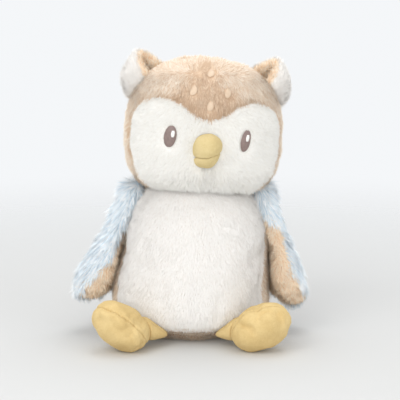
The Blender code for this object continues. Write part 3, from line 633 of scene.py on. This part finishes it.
def growPile(name, sheet, pile, layers):
    # a plain mesh of hairs on one sheet
    for key, values in layers.items():
        storeLayer(sheet, key, values)
    thing = linkObject(name, sheet)
    hairs = zip(("lightHair", "middleHair", "darkHair"), plush[pile["look"]]["hairs"])
    runTree(thing, pileTree, {**pile, **dict(hairs), "blade": blades[pile.get("blade", "short")],
        "density": pile["density"] * 1})
    mesh = thing.data
    points = pointsOf(mesh)
    points[:, 2] = np.maximum(points[:, 2], tableGap)  # pressed flat on the table
    setPoints(mesh, points)
    for layer in (*layers, "rootNormal", "tone"):
        if layer in mesh.attributes:
            mesh.attributes.remove(mesh.attributes[layer])
    return thing


def closeSheet(name, sheet, thickness, material):
    # the sheet as a thin closed piece of cloth
    thing = linkObject(name, sheet)
    thing.data.materials.append(material)
    thicken(thing, thickness, -1)
    return thing


def finishPiece(thing, body, stands=()):
    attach(thing, body)
    if stands:
        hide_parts(*stands)


# how the pile's tone (with painted sheen and painted shade), length and lean change over the toy, from photographs
# of brushed plush

def spot(points, middle, size):
    # a soft spot in the view from the front
    return hump(points[:, 0], middle[0], size[0]) * hump(points[:, 2], middle[1], size[1])


def level(points, reach):
    return np.zeros(len(points))


def hoodSheenAndShade(points, reach):
    # darker in a diamond on the forehead and paler away from it towards the crown and the sides, which is painted
    # sheen; less pale over the top of the crown; darker along the seam and in the dent near the top, which is
    # painted shade
    middle, size, edge = (0.0105, 0.201), (0.028, 0.024), (0.7, 1.5)
    base, dark, crown, crownRise = 0.39, 0.69, 0.25, (0.212, 0.226)
    seamShade, seamShadeWidth, creaseShade, creaseAt, creaseSize = 0.65, 0.0035, 0.7, (0.0125, 0.2245), (0.004, 0.0025)
    away = sum(np.abs(points[:, axis] - middle[i]) / size[i] for i, axis in enumerate((0, 2)))
    diamond = base - dark * rampUp(away, *edge)
    high = crown * rampUp(points[:, 2], *crownRise)
    return diamond + high + seamShade * hump(reach, 0, seamShadeWidth) + creaseShade * spot(points, creaseAt, creaseSize)


def chinUpright(points, reach):
    # fluffed up along the chin and the lower cheeks
    share, low, high = -0.55, -0.15, -0.134
    return share * rampUp(-points[:, 2], low, high)


def crownFlat(points, reach):
    # brushed flat over the crown and round the sides
    share, rise, sides = 0.3, (0.195, 0.215), (0.045, 0.065)
    return share * np.maximum(rampUp(points[:, 2], *rise), rampUp(np.abs(points[:, 0] - headMiddle[0]), *sides))


def bellyToneAndShade(points, reach):
    # darker and warmer low down on the right, which is painted shade; whiter in a brushed patch under the middle
    lowRightShade, right, top, white, middle, size = 0.35, (0.02, 0.055), (0.06, 0.1), 0.4, (0.012, 0.03), (0.013, 0.022)
    low = rampUp(points[:, 0], *right) * (1 - rampUp(points[:, 2], *top))
    return lowRightShade * low - white * spot(points, middle, size)


def faceLength(points):
    # longer on the cheeks and chin
    least, more, low, high = 0.85, 0.5, -0.165, -0.13
    return least + more * rampUp(-points[:, 2], low, high)


def bellyLength(points):
    # shorter along the lower edge, where the seat's fringe shows
    less, low, high = 0.5, 0.008, 0.018
    return 1 - less * (1 - rampUp(points[:, 2], low, high))


def faceSeam(points):
    # the seam is brushed over between the eyes and across the crown, where it hardly shows
    middle, width, front, low, high = 0.0135, 0.012, -0.03, (0.16, 0.168), (0.18, 0.184)
    share, crownFront, crownBack = 0.75, (-0.025, -0.01), (0.025, 0.035)
    x, y, z = points.T
    between = hump(x, middle, width) * (y < front) * rampUp(z, *low) * (1 - rampUp(z, *high))
    crown = share * rampUp(y, *crownFront) * (1 - rampUp(y, *crownBack))
    return (1 - between) * (1 - crown)


# head and body

headShape = dict(
    name="headForm", panels={"face_left": "face", "face_right": "face", "hood_front": "hood",
        "hood_back_left": "hoodBack", "hood_back_right": "hoodBack"},
    core="head_stuffing", voxel=0.004, smooth=2, pinWidth=0.004, pressure=4.0, cap=0.0022,
    groove=(0.0014, 0.0028), lump=(0.0007, 0.022, 3.1), seamShare=faceSeam,
    dents=[((0.0155, -0.058, 0.137), (0.0035, 0.02, 0.013), 0.0028),
        ((0.012, -0.04, 0.222), (0.004, 0.012, 0.01), 0.001)],
)


def seatRise(points):
    # the seat shows as a fringe under the belly, between the legs, and the belly reaches round on the right
    fringe, front, middle, sides, roundBy, right = 0.009, (0.02, 0.04), 0.001, (0.018, 0.03), 0.0042, (0.03, 0.05)
    x, y, z = points.T
    none = np.zeros(len(points))
    shown = rampUp(-y, *front) * (1 - rampUp(np.abs(x - middle), *sides))
    return np.stack([-roundBy * rampUp(x, *right), none, none, -fringe * shown], axis=1)


def pullIn(points):
    # the right flank is less full low down
    inwards, sides, height, width = 0.0062, (0.03, 0.062), 0.042, 0.028
    points[:, 0] -= inwards * rampUp(points[:, 0], *sides) * hump(points[:, 2], height, width)


bodyShape = dict(
    name="bodyForm",
    panels={"belly_panel": "belly", "back_left": "back", "back_right": "back", "seat_panel": "seat"},
    core="body_stuffing", voxel=0.004, smooth=2, pinWidth=0.004, pressure=4.0, cap=0.002,
    groove=(0.0014, 0.003), lump=(0.001, 0.028, 7.7), shift=seatRise, bend=pullIn, inset=0.0018,
    creases=[([(0.025, -0.055, 0.0988), (0.0299, -0.053, 0.099), (0.0348, -0.0508, 0.0972)], 0.0022, 0.001),
        ([(-0.0227, -0.059, 0.0383), (-0.0202, -0.06, 0.05)], 0.0032, 0.0011),
        ([(0.0203, -0.06, 0.0235), (0.0227, -0.0606, 0.0345), (0.0218, -0.0608, 0.0412)], 0.0034, 0.0011),
        ([(-0.0128, -0.06, 0.0698), (-0.0088, -0.06, 0.0781)], 0.0024, 0.0012)],
)
beakLow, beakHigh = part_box("beak_upper")
beakMiddle = np.array((beakLow + beakHigh) / 2)
headMiddle = np.array([0.0106, 0.0, 0.175])
stitched = sorted(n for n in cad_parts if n.startswith(("eye_", "forehead_")))
clear = joinNodes("keepClear", [*stitched, "beak_upper", "beak_lower"])


def combing(centre, fan, push):
    # hairs fan out from a middle and are pushed one way
    return lambda points: unit((points - centre) * fan + push)


def combHood(points):
    # down over the forehead, back over the crown and round the sides
    fan, down, backwards, rise, sides = (7, 0, 0), (0, -0.6, -1), (0, 1.8, 0.4), (0.212, 0.226), (0.055, 0.068)
    away = points - headMiddle
    back = np.maximum(rampUp(points[:, 2], *rise), rampUp(np.abs(away[:, 0]), *sides))
    return unit(away * fan + down + back[:, None] * backwards)


combDown = combing((0.004, 0, 0.07), fan=(5, 2, 0), push=(0, 0, -1))
piles = dict(
    face=dict(look="cream", density=4.2e6, length=0.0042, width=0.00042, lean=0.95, jitter=0.4,
        shade=0.78, fade=0.003, keepClear=clear, longer=faceLength, flat=chinUpright,
        comb=combing(beakMiddle, fan=(28, 0, 0), push=(0, 0, -1))),
    hood=dict(look="tan", density=3.6e6, length=0.0052, width=0.00045, clump=1.0, clumpSize=0.007,
        shade=0.75, fade=0.0015, keepClear=clear, tone=hoodSheenAndShade, flat=crownFlat, comb=combHood),
    # more light hairs than the hood front's: painted light where the back of the head lies in shade
    hoodBack=dict(look="tan", density=2.8e6, length=0.0052, clumpSize=0.007, light=0.46, dark=0.2,
        comb=combing(headMiddle, fan=(5, 0, 0), push=(0, 0.5, -1))),
    # more light hairs than the ear backs of the same plush: painted light against the head's shadow
    belly=dict(look="white", density=3.1e6, length=0.0044, width=0.00047, lean=1.08, jitter=0.35,
        clump=0.6, clumpSize=0.012, shade=0.9, light=0.6, dark=0.12, tone=bellyToneAndShade, longer=bellyLength,
        comb=combDown),
    # more light hairs than the hood front's: painted light where the back lies in shade
    back=dict(look="tan", density=2.6e6, length=0.0052, width=0.00052, lean=0.95, light=0.46,
        dark=0.2, comb=combDown),
    # mostly light hairs, lighter than the back's tan: painted light against the shade under the belly
    seat=dict(look="tan", density=2.4e6, length=0.0044, lean=0.95, jitter=0.5, clumpSize=0.005,
        shade=0.6, light=0.8, dark=0.05, comb=combing((0, 0, 0), fan=(1, 1, 0), push=(0, 0, 0))),
    earBack=dict(look="white", density=4.2e6, length=0.0048, width=0.00045, lean=0.88, jitter=0.55,
        clump=1.5, clumpSize=0.0045, shade=0.6),
    # lighter tones from the ear look: painted light inside the ear's cup
    earLining=dict(look="ear", density=4.0e6, length=0.0042, width=0.00045, lean=0.95, jitter=0.8,
        clump=2.4, clumpSize=0.0022, shade=0.68, light=0.5, dark=0.14),
    wing=dict(look="blue", blade="long", density=3.4e6, length=0.0092, width=0.00052, lean=1.05,
        jitter=0.24, clump=1.5, clumpSize=0.0042, shade=0.58, spread=0.45, light=0.42),
    wingLining=dict(look="lining", density=3.8e6, length=0.0062, width=0.00046, jitter=0.8,
        clump=2.6, clumpSize=0.0024, shade=0.52, light=0.52, dark=0.17),
)
for index, pile in enumerate(piles.values()):
    pile["seed"] = 11 + 7 * index


skinTrees = {}
furWaves = ((0.25, 0.012, 5.5), (0.1, 0.01, 8.5))
sheetDepth = {"cloth": 0.0012, "suede": 0.0008}


def fillForm(thing, shape, body):
    # the filling follows the padded skin instead of the CAD solid
    inner = linkObject(shape["core"] + "_fibre", thing.data.copy())
    setPoints(inner.data, pointsOf(inner.data) - shape["inset"] * normalsOf(inner.data))
    inner.data.materials.append(fibre)
    finishPiece(inner, body, [shape["core"]])


def sewForm(shape, body):
    # pads a form and splits it into its panels
    thing, distances = padSkin(shape)
    if "inset" in shape:
        fillForm(thing, shape, body)
    skinTrees[shape["name"]] = treeOf(thing.data)
    sheets = splitPanels(thing, distances, shape["panels"], shape.get("shift"))
    bpy.data.objects.remove(thing)
    return sheets


def dressForm(shape, body, comb=None):
    # gives each panel of a padded form its cloth and its hairs
    sheets = sewForm(shape, body)
    for panelName, pileName in shape["panels"].items():
        pile, (sheet, reach) = piles[pileName], sheets[panelName]
        look = plush[pile["look"]]
        points = pointsOf(sheet)
        longer, paler = [share * lumps(points, size, seed) for share, size, seed in furWaves]
        hairs = growPile(panelName + "_pile", sheet.copy(), pile, {
            "comb": (comb or pile["comb"])(points), "pileLength": (1 + longer) * pile.get("longer", evenly)(points),
            "toneShift": pile.get("tone", level)(points, reach) + paler,
            "flatten": pile.get("flat", level)(points, reach)})
        cloth = closeSheet(panelName + "_cloth", sheet, sheetDepth["cloth"], look["backing"])
        finishPiece(cloth, body, [panelName])
        finishPiece(hairs, body)
        print("  ", panelName, len(cloth.data.polygons), "cloth faces,", len(hairs.data.polygons), "hair faces")


dressForm(headShape, "head")
dressForm(bodyShape, "body")
print("head and body dressed")


# ears and wings

earShape = dict(voxel=0.0014, pinWidth=0.002, levels=0, groove=(0.0002, 0.001), lump=(0.0003, 0.012, 1.3),
    fill=0.3, fuller=(1, 0.0074, 0.004))
earRun = {"root": 0.012, "tip": 0.004}
wingShape = dict(voxel=0.0025, pinWidth=0.003, pressure=2.0, cap=0.0012, groove=(0.0006, 0.002),
    lump=(0.0006, 0.016, 2.2), fill=0.5)
wingSides = {
    "left": dict(out=-1, wrap=(0.05, 0.086), back=0.0019, reach=0.0086, start=0.064),
    "right": dict(out=1, wrap=(0.086, 0.112), back=0.0038, reach=0.0062, start=0.05),
}
wingEdge = {"front": (-0.004, 0.008), "upper": 0.004}
wingEnd = dict(inner=(-0.004, 0.008), low=0.014, drop=0.0028)


def wrapFront(settings):
    # near the shoulder the outer plush wraps round the wing's front edge, lower down the lining does
    def shift(points):
        upper = rampUp(points[:, 2], *settings["wrap"])
        front = rampUp(-points[:, 1], *wingEdge["front"])
        lining = wingEdge["upper"] * upper - settings["back"] * front * (1 - upper)
        return np.stack([np.zeros(len(points)), lining], axis=1)
    return shift


def bluntEnd(settings, root, tip):
    # the wing's lower end is broad: its inner corner reaches in and down
    def bend(points):
        along = (points[:, 2] - tip[2]) / (root[2] - tip[2])
        middle = tip[0] + (root[0] - tip[0]) * along
        inner = rampUp((middle - points[:, 0]) * settings["out"], *wingEnd["inner"])
        corner = inner * (1 - rampUp(points[:, 2], tip[2] + wingEnd["low"], tip[2] + settings["start"]))
        points[:, 0] -= settings["out"] * settings["reach"] * corner
        points[:, 2] -= wingEnd["drop"] * corner
    return bend


def shoulderDents(root, tip):
    # full at the shoulder and near the lower end
    return [((root[0] * 1.04, -0.006, root[2] - 0.012), (0.02, 0.02, 0.018), -0.0035),
        ((root[0] * 0.97, -0.005, root[2] + 0.001), (0.016, 0.016, 0.012), -0.0055),
        ((root[0], -0.004, root[2] + 0.002), (0.008, 0.012, 0.008), -0.0036),
        ((tip[0] * 0.9, -0.006, tip[2] + 0.018), (0.014, 0.016, 0.018), -0.0028)]


def combFrom(root, tip):
    return combing(root, fan=(0, 0, 0), push=np.subtract(tip, root))


for side, settings in wingSides.items():
    outward = settings["out"]
    low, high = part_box("ear_back_" + side)
    middle = (low + high) / 2
    root, tip = (middle.x - outward * earRun["root"], 0, low.z), (middle.x + outward * earRun["tip"], 0, high.z)
    panels = {"ear_back_" + side: "earBack", "ear_lining_" + side: "earLining"}
    dressForm({**earShape, "name": "earForm_" + side, "panels": panels}, "head", combFrom(root, tip))
    low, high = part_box("wing_outer_" + side)
    inside, outside = (low.x, high.x) if outward > 0 else (high.x, low.x)
    root, tip = (inside, 0, high.z), (outside, 0, low.z)
    panels = {"wing_outer_" + side: "wing", "wing_lining_" + side: "wingLining"}
    dressForm({**wingShape, "name": "wingForm_" + side, "panels": panels, "core": "wing_wadding_" + side,
            "shift": wrapFront(settings), "bend": bluntEnd(settings, root, tip),
            "dents": shoulderDents(root, tip)}, "wing_" + side, combFrom(root, tip))
print("ears and wings dressed")


# suede: feet, legs and beak

def suedeForm(shape, body, kind):
    for panelName, (sheet, reach) in sewForm(shape, body).items():
        cloth = closeSheet(panelName + "_suede", sheet, sheetDepth["suede"], suede[kind])
        finishPiece(cloth, body, [panelName])


footShape = dict(voxel=0.0021, pinWidth=0.003, pressure=3.0, slack=0.06, cap=0.002, inset=0.0009,
    groove=(0.0009, 0.0012), ridge=(0.0005, 0.003))
footFolds = {
    "left": dict(
        lump=(0.0011, 0.012, 4.4),
        dents=[((-0.0713, -0.0847, 0.0279), (0.005, 0.01, 0.005), 0.0016),
            ((-0.0651, -0.0842, 0.036), (0.004, 0.01, 0.004), 0.0016),
            ((-0.0441, -0.0858, 0.0235), (0.006, 0.01, 0.004), 0.0018),
            ((-0.0558, -0.0876, 0.0132), (0.009, 0.01, 0.006), -0.0012)],
        creases=[([(-0.0685, -0.0829, 0.033), (-0.0604, -0.0871, 0.0318), (-0.0548, -0.0891, 0.0266),
                (-0.0486, -0.0891, 0.0193), (-0.0433, -0.0862, 0.0112)], 0.0032, -0.003),
            ([(-0.042, -0.085, 0.026), (-0.0455, -0.088, 0.0225), (-0.05, -0.089, 0.0235)], 0.0016, 0.0012)]),
    "right": dict(
        lump=(0.0011, 0.012, 9.2),
        dents=[((0.0421, -0.0815, 0.0295), (0.006, 0.01, 0.005), -0.0018),
            ((0.06, -0.086, 0.03), (0.006, 0.01, 0.005), -0.0012),
            ((0.0528, -0.0806, 0.0365), (0.003, 0.012, 0.004), 0.0026)],
        creases=[([(0.04, -0.0836, 0.024), (0.0436, -0.0858, 0.0237), (0.0471, -0.0874, 0.023),
                (0.0493, -0.0879, 0.019)], 0.002, 0.0021),
            ([(0.062, -0.0834, 0.035), (0.0578, -0.0834, 0.0343), (0.055, -0.0835, 0.0335),
                (0.0532, -0.086, 0.03)], 0.0018, 0.0019),
            ([(0.0706, -0.0806, 0.035), (0.0729, -0.082, 0.0313), (0.0737, -0.0828, 0.0274),
                (0.0738, -0.0823, 0.0216)], 0.0022, -0.0012)]),
}
legShape = dict(voxel=0.002, smooth=2, plump=0.0026, start=0.026, end=0.038, fill=0.6)
for side, folds in footFolds.items():
    panels = ["foot_upper_" + side, "foot_sole_" + side]
    suedeForm({**footShape, **folds, "name": "footForm_" + side, "panels": panels, "core": "foot_stuffing_" + side},
        "leg_" + side, "foot")
    leg = voxelShape("leg_%s_suede" % side, ["leg_" + side], legShape["voxel"], legShape["smooth"])
    subdivide(leg, 1)
    points, normals = pointsOf(leg.data), normalsOf(leg.data)
    plump = rampUp(np.abs(points[:, 0]), legShape["start"], legShape["end"]) * np.maximum(normals[:, 2], 0)
    setPoints(leg.data, points + normals * (legShape["plump"] * plump)[:, None])
    leg.data.materials.append(suede["foot"])
    shadeSmooth(leg.data)
    finishPiece(leg, "leg_" + side, ["leg_" + side])

mouth = dict(across=(0.004, 0.0139, 0.024), rise=(0.0024, 0.0011, 0.0038), height=0.1538, slope=0.14,
    middle=0.0135, band=0.0065, lip=(-0.0005, 0.002), narrows=0.6, end=(0.003, 0.012),
    lipMiddle=0.0139, wider=0.15, lean=0.0016, leanEnd=0.008)


def bendMouth(points):
    # the mouth line sags in the middle and rises to its right corner; the lower lip leans left
    x = points[:, 0].copy()
    below = mouth["height"] + mouth["slope"] * (x - mouth["middle"]) - points[:, 2]
    points[:, 2] += np.interp(x, mouth["across"], mouth["rise"]) * hump(below, 0, mouth["band"])
    lip = rampUp(below, *mouth["lip"]) * (1 - mouth["narrows"] * rampUp(below, *mouth["end"]))
    lean = mouth["lean"] * rampUp(below, 0, mouth["leanEnd"])
    points[:, 0] += (x - mouth["lipMiddle"]) * mouth["wider"] * lip - lean


suedeForm(dict(
    name="beakForm", panels=["beak_upper", "beak_lower"], core="beak_stuffing", voxel=0.0012,
    pinWidth=0.0015, pressure=2.0, cap=0.0006, inset=0.0009, groove=(0.0012, 0.001),
    lump=(0.0005, 0.008, 6.1), bend=bendMouth), "head", "beak")
print("feet, legs and beak made")


# satin stitching

def buildThreadTree():
    tree = bpy.data.node_groups.new("satinThreads", "GeometryNodeTree")
    for kind, name in (("Geometry", "Geometry"), ("Float", "radius"), ("Int", "sides"), ("Material", "thread")):
        addSockets(tree, "INPUT", kind, [name])
    addSockets(tree, "OUTPUT", "Geometry", ["Geometry"])
    get, out = addNode(tree, "NodeGroupInput").outputs, addNode(tree, "NodeGroupOutput")

    def add(kind, feeds):
        return addNode(tree, "GeometryNode" + kind, feeds=feeds).outputs[0]

    paths = add("MeshToCurve", {"Mesh": get["Geometry"]})
    ring = add("CurvePrimitiveCircle", {"Resolution": get["sides"], "Radius": get["radius"]})
    tubes = add("CurveToMesh", {"Curve": paths, "Profile Curve": ring, "Fill Caps": True})
    real = add("RealizeInstances", {"Geometry": tubes})
    tree.links.new(add("SetMaterial", {"Geometry": real, "Material": get["thread"]}), out.inputs[0])
    return tree


threadTree = buildThreadTree()


def outlineAt(flat, height):
    # the left and right edge of a flat outline at one height
    hits = []
    for (x0, z0), (x1, z1) in zip(flat, np.roll(flat, -1, axis=0)):
        if (z0 - height) * (z1 - height) < 0:
            hits.append(x0 + (x1 - x0) * (height - z0) / (z1 - z0))
    return (min(hits), max(hits)) if len(hits) >= 2 else None


satin = dict(sides=5, radius=0.62, sunk=0.4, padding=0.0012, ragged=0.00012, above=0.02)


def satinRows(flat, middle, axes, patch):
    # rows of points across a flat outline, laid on the padded head
    out, across, along = axes
    low, high = flat[:, 1].min(), flat[:, 1].max()
    count = max(6, int((high - low) / patch["pitch"]))
    rows, chance = [], np.random.default_rng(patch["seed"])
    for index in range(count):
        height = low + (high - low) * (index + 0.5) / count
        edges = outlineAt(flat, height)
        if not edges:
            continue
        left, right = chance.uniform(-satin["ragged"], satin["ragged"], 2) + edges
        upDome = sqrt(max(0, 1 - ((height - (low + high) / 2) * 2 / (high - low)) ** 2))
        row = []
        for share in np.arange(patch["steps"] + 1) / patch["steps"]:
            x = left + (right - left) * share
            z = height + patch["slant"] * (share - 0.5) * (edges[1] - edges[0])
            start = Vector(middle + across * x + along * z + out * satin["above"])
            hit = skinTrees["headForm"].ray_cast(start, Vector(-out))[0]
            if hit is not None:
                dome = sqrt(max(0, 1 - (2 * share - 1) ** 2)) * upDome
                row.append(np.array(hit) + out * (patch["lift"] + patch["dome"] * dome))
        if len(row) == patch["steps"] + 1:
            rows.append(row)
    return rows


def satinPatch(nodeName, patch):
    # threads across the CAD patch's outline, and padding under them
    points = pointsOf(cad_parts[nodeName].data)
    middle = points.mean(axis=0)
    out, across, along = np.linalg.eigh(np.cov((points - middle).T))[1].T
    out, along = out * (1 if out[1] < 0 else -1), along * (1 if along[2] > 0 else -1)
    flat = np.stack([(points - middle) @ across, (points - middle) @ along], axis=1)
    flat = flat[convex_hull_2d([Vector(p) for p in flat])]
    across = across * (1 if across[0] > 0 else -1)
    middle = middle + across * patch.get("nudge", 0)
    rows = satinRows(flat * patch.get("size", (1, 1)), middle, (out, across, along), patch)
    verts, wide = [p for row in rows for p in row], patch["steps"] + 1
    edges = [(r * wide + s, r * wide + s + 1) for r in range(len(rows)) for s in range(wide - 1)]
    sewn = linkObject(nodeName + "_threads", meshOf("threads", verts, [], edges))
    runTree(sewn, threadTree, {
        "radius": patch["pitch"] * satin["radius"], "sides": satin["sides"], "thread": threads[patch["thread"]]})
    shadeSmooth(sewn.data)
    faces = [(a, b, b + wide, a + wide) for a, b in edges if a < wide * (len(rows) - 1)]
    top = [p - out * patch["pitch"] * satin["sunk"] for p in verts]
    under = linkObject(nodeName + "_padding", meshOf("padding", top, faces))
    under.data.materials.append(threads[patch["thread"]])
    thicken(under, satin["padding"], 0)
    editMesh(under.data, lambda work: bmesh.ops.recalc_face_normals(work, faces=work.faces))
    return sewn, under


patches = {
    "eye": dict(pitch=0.00045, steps=10, slant=0.18, lift=0.0008, dome=0.0012, thread="brown"),
    "eye_glint": dict(pitch=0.0004, steps=6, slant=0.2, lift=0.0022, dome=0.0006, thread="white"),
    "forehead_drop": dict(pitch=0.00045, steps=6, slant=0.35, lift=0.0008, dome=0.0006, thread="cream"),
}
fitted = {"eye_left": {"size": (0.93, 0.94)}, "eye_right": {"size": (0.74, 0.94)},
    "eye_glint_left": {"nudge": 0.001}, "eye_glint_right": {"nudge": -0.0008, "size": (0.85, 1)}}
for index, nodeName in enumerate(stitched):
    kind = next(k for k in ("eye_glint", "forehead_drop", "eye") if nodeName.startswith(k))
    patch = {**patches[kind], "seed": 40 + index, **fitted.get(nodeName, {})}
    sewn, under = satinPatch(nodeName, patch)
    finishPiece(sewn, "head", [nodeName])
    finishPiece(under, "head")
print("stitching laid")

for helper in (clear, *blades.values()):
    bpy.data.objects.remove(helper)


# floor, light, camera

studio = dict(floorPale=(0.645, 0.645, 0.635), floorRough=0.9, fadeFrom=0.14, fadeTo=1.0,
    backdrop=(0.91, 0.928, 0.946), air=(0.97, 0.985, 1), ambient=0.79)
lamps = dict(
    keySoftbox=dict(place=(-0.75, -0.95, 1.15), aim=0.12, size=1.1, power=7.0),
    fillSoftbox=dict(place=(1.1, -0.9, 0.7), aim=0.1, size=1.2, power=3.0),
    frontSoftbox=dict(place=(-0.15, -1.35, 0.42), aim=0.1, size=0.9, power=4.7),
    topSoftbox=dict(place=(0.1, 0.3, 1.35), aim=0.12, size=1.0, power=5.4),
)
photo = dict(sensor=36, focal=1282, across=400, clip=0.05, place=(0.00729, -1.06928, 0.28055), tilt=81)


def makeFloor():
    corners = [(-6, -3, 0), (6, -3, 0), (6, 6, 0), (-6, 6, 0)]
    floor = linkObject("floor", meshOf("floor", corners, [(0, 1, 2, 3)]))
    material, tree, shader, place = newMaterial("paleTable")
    setShader(shader, {"Base Color": (*studio["floorPale"], 1), "Roughness": studio["floorRough"]})
    fade = addNode(tree, "MapRange", {"interpolation_type": "SMOOTHSTEP"}, {
        "Value": vectorNode(tree, "LENGTH", place), "From Min": studio["fadeFrom"],
        "From Max": studio["fadeTo"]}).outputs[0]
    through = addNode(tree, "BsdfTransparent").outputs[0]
    mix = addNode(tree, "MixShader", feeds={0: fade, 1: shader.outputs[0], 2: through})
    tree.links.new(mix.outputs[0], tree.nodes["Material Output"].inputs["Surface"])
    floor.data.materials.append(material)


def makeWorld():
    world = bpy.data.worlds.new("studioAir")
    scene.world = world
    world.use_nodes = True
    tree = world.node_tree
    tree.nodes.clear()
    path = addNode(tree, "LightPath").outputs
    seen = mathNode(tree, "MAXIMUM", path["Is Camera Ray"], path["Is Glossy Ray"])
    seen = mathNode(tree, "MAXIMUM", seen, path["Is Transmission Ray"])
    air = addNode(tree, "Background", feeds={"Color": (*studio["air"], 1), "Strength": studio["ambient"]})
    wall = addNode(tree, "Background", feeds={"Color": (*studio["backdrop"], 1), "Strength": 1.0})
    mix = addNode(tree, "MixShader", feeds={0: seen, 1: air.outputs[0], 2: wall.outputs[0]})
    tree.links.new(mix.outputs[0], addNode(tree, "OutputWorld").inputs["Surface"])


def makeLamp(name, settings):
    data = bpy.data.lights.new(name, "AREA")
    data.shape = "DISK"
    data.size = settings["size"]
    data.energy = settings["power"]
    lamp = linkObject(name, data)
    lamp.location = settings["place"]
    aim = Vector((0, 0, settings["aim"])) - lamp.location
    lamp.rotation_euler = aim.to_track_quat("-Z", "Y").to_euler()


def makeCamera():
    data = bpy.data.cameras.new("photoCamera")
    data.sensor_width = photo["sensor"]
    data.lens = photo["sensor"] * photo["focal"] / photo["across"]
    data.clip_start = photo["clip"]
    scene.camera = linkObject("photoCamera", data)
    scene.camera.location = photo["place"]
    scene.camera.rotation_euler = (radians(photo["tilt"]), 0, 0)


makeFloor()
makeWorld()
for name, settings in lamps.items():
    makeLamp(name, settings)
makeCamera()
scene.view_settings.view_transform = "Standard"
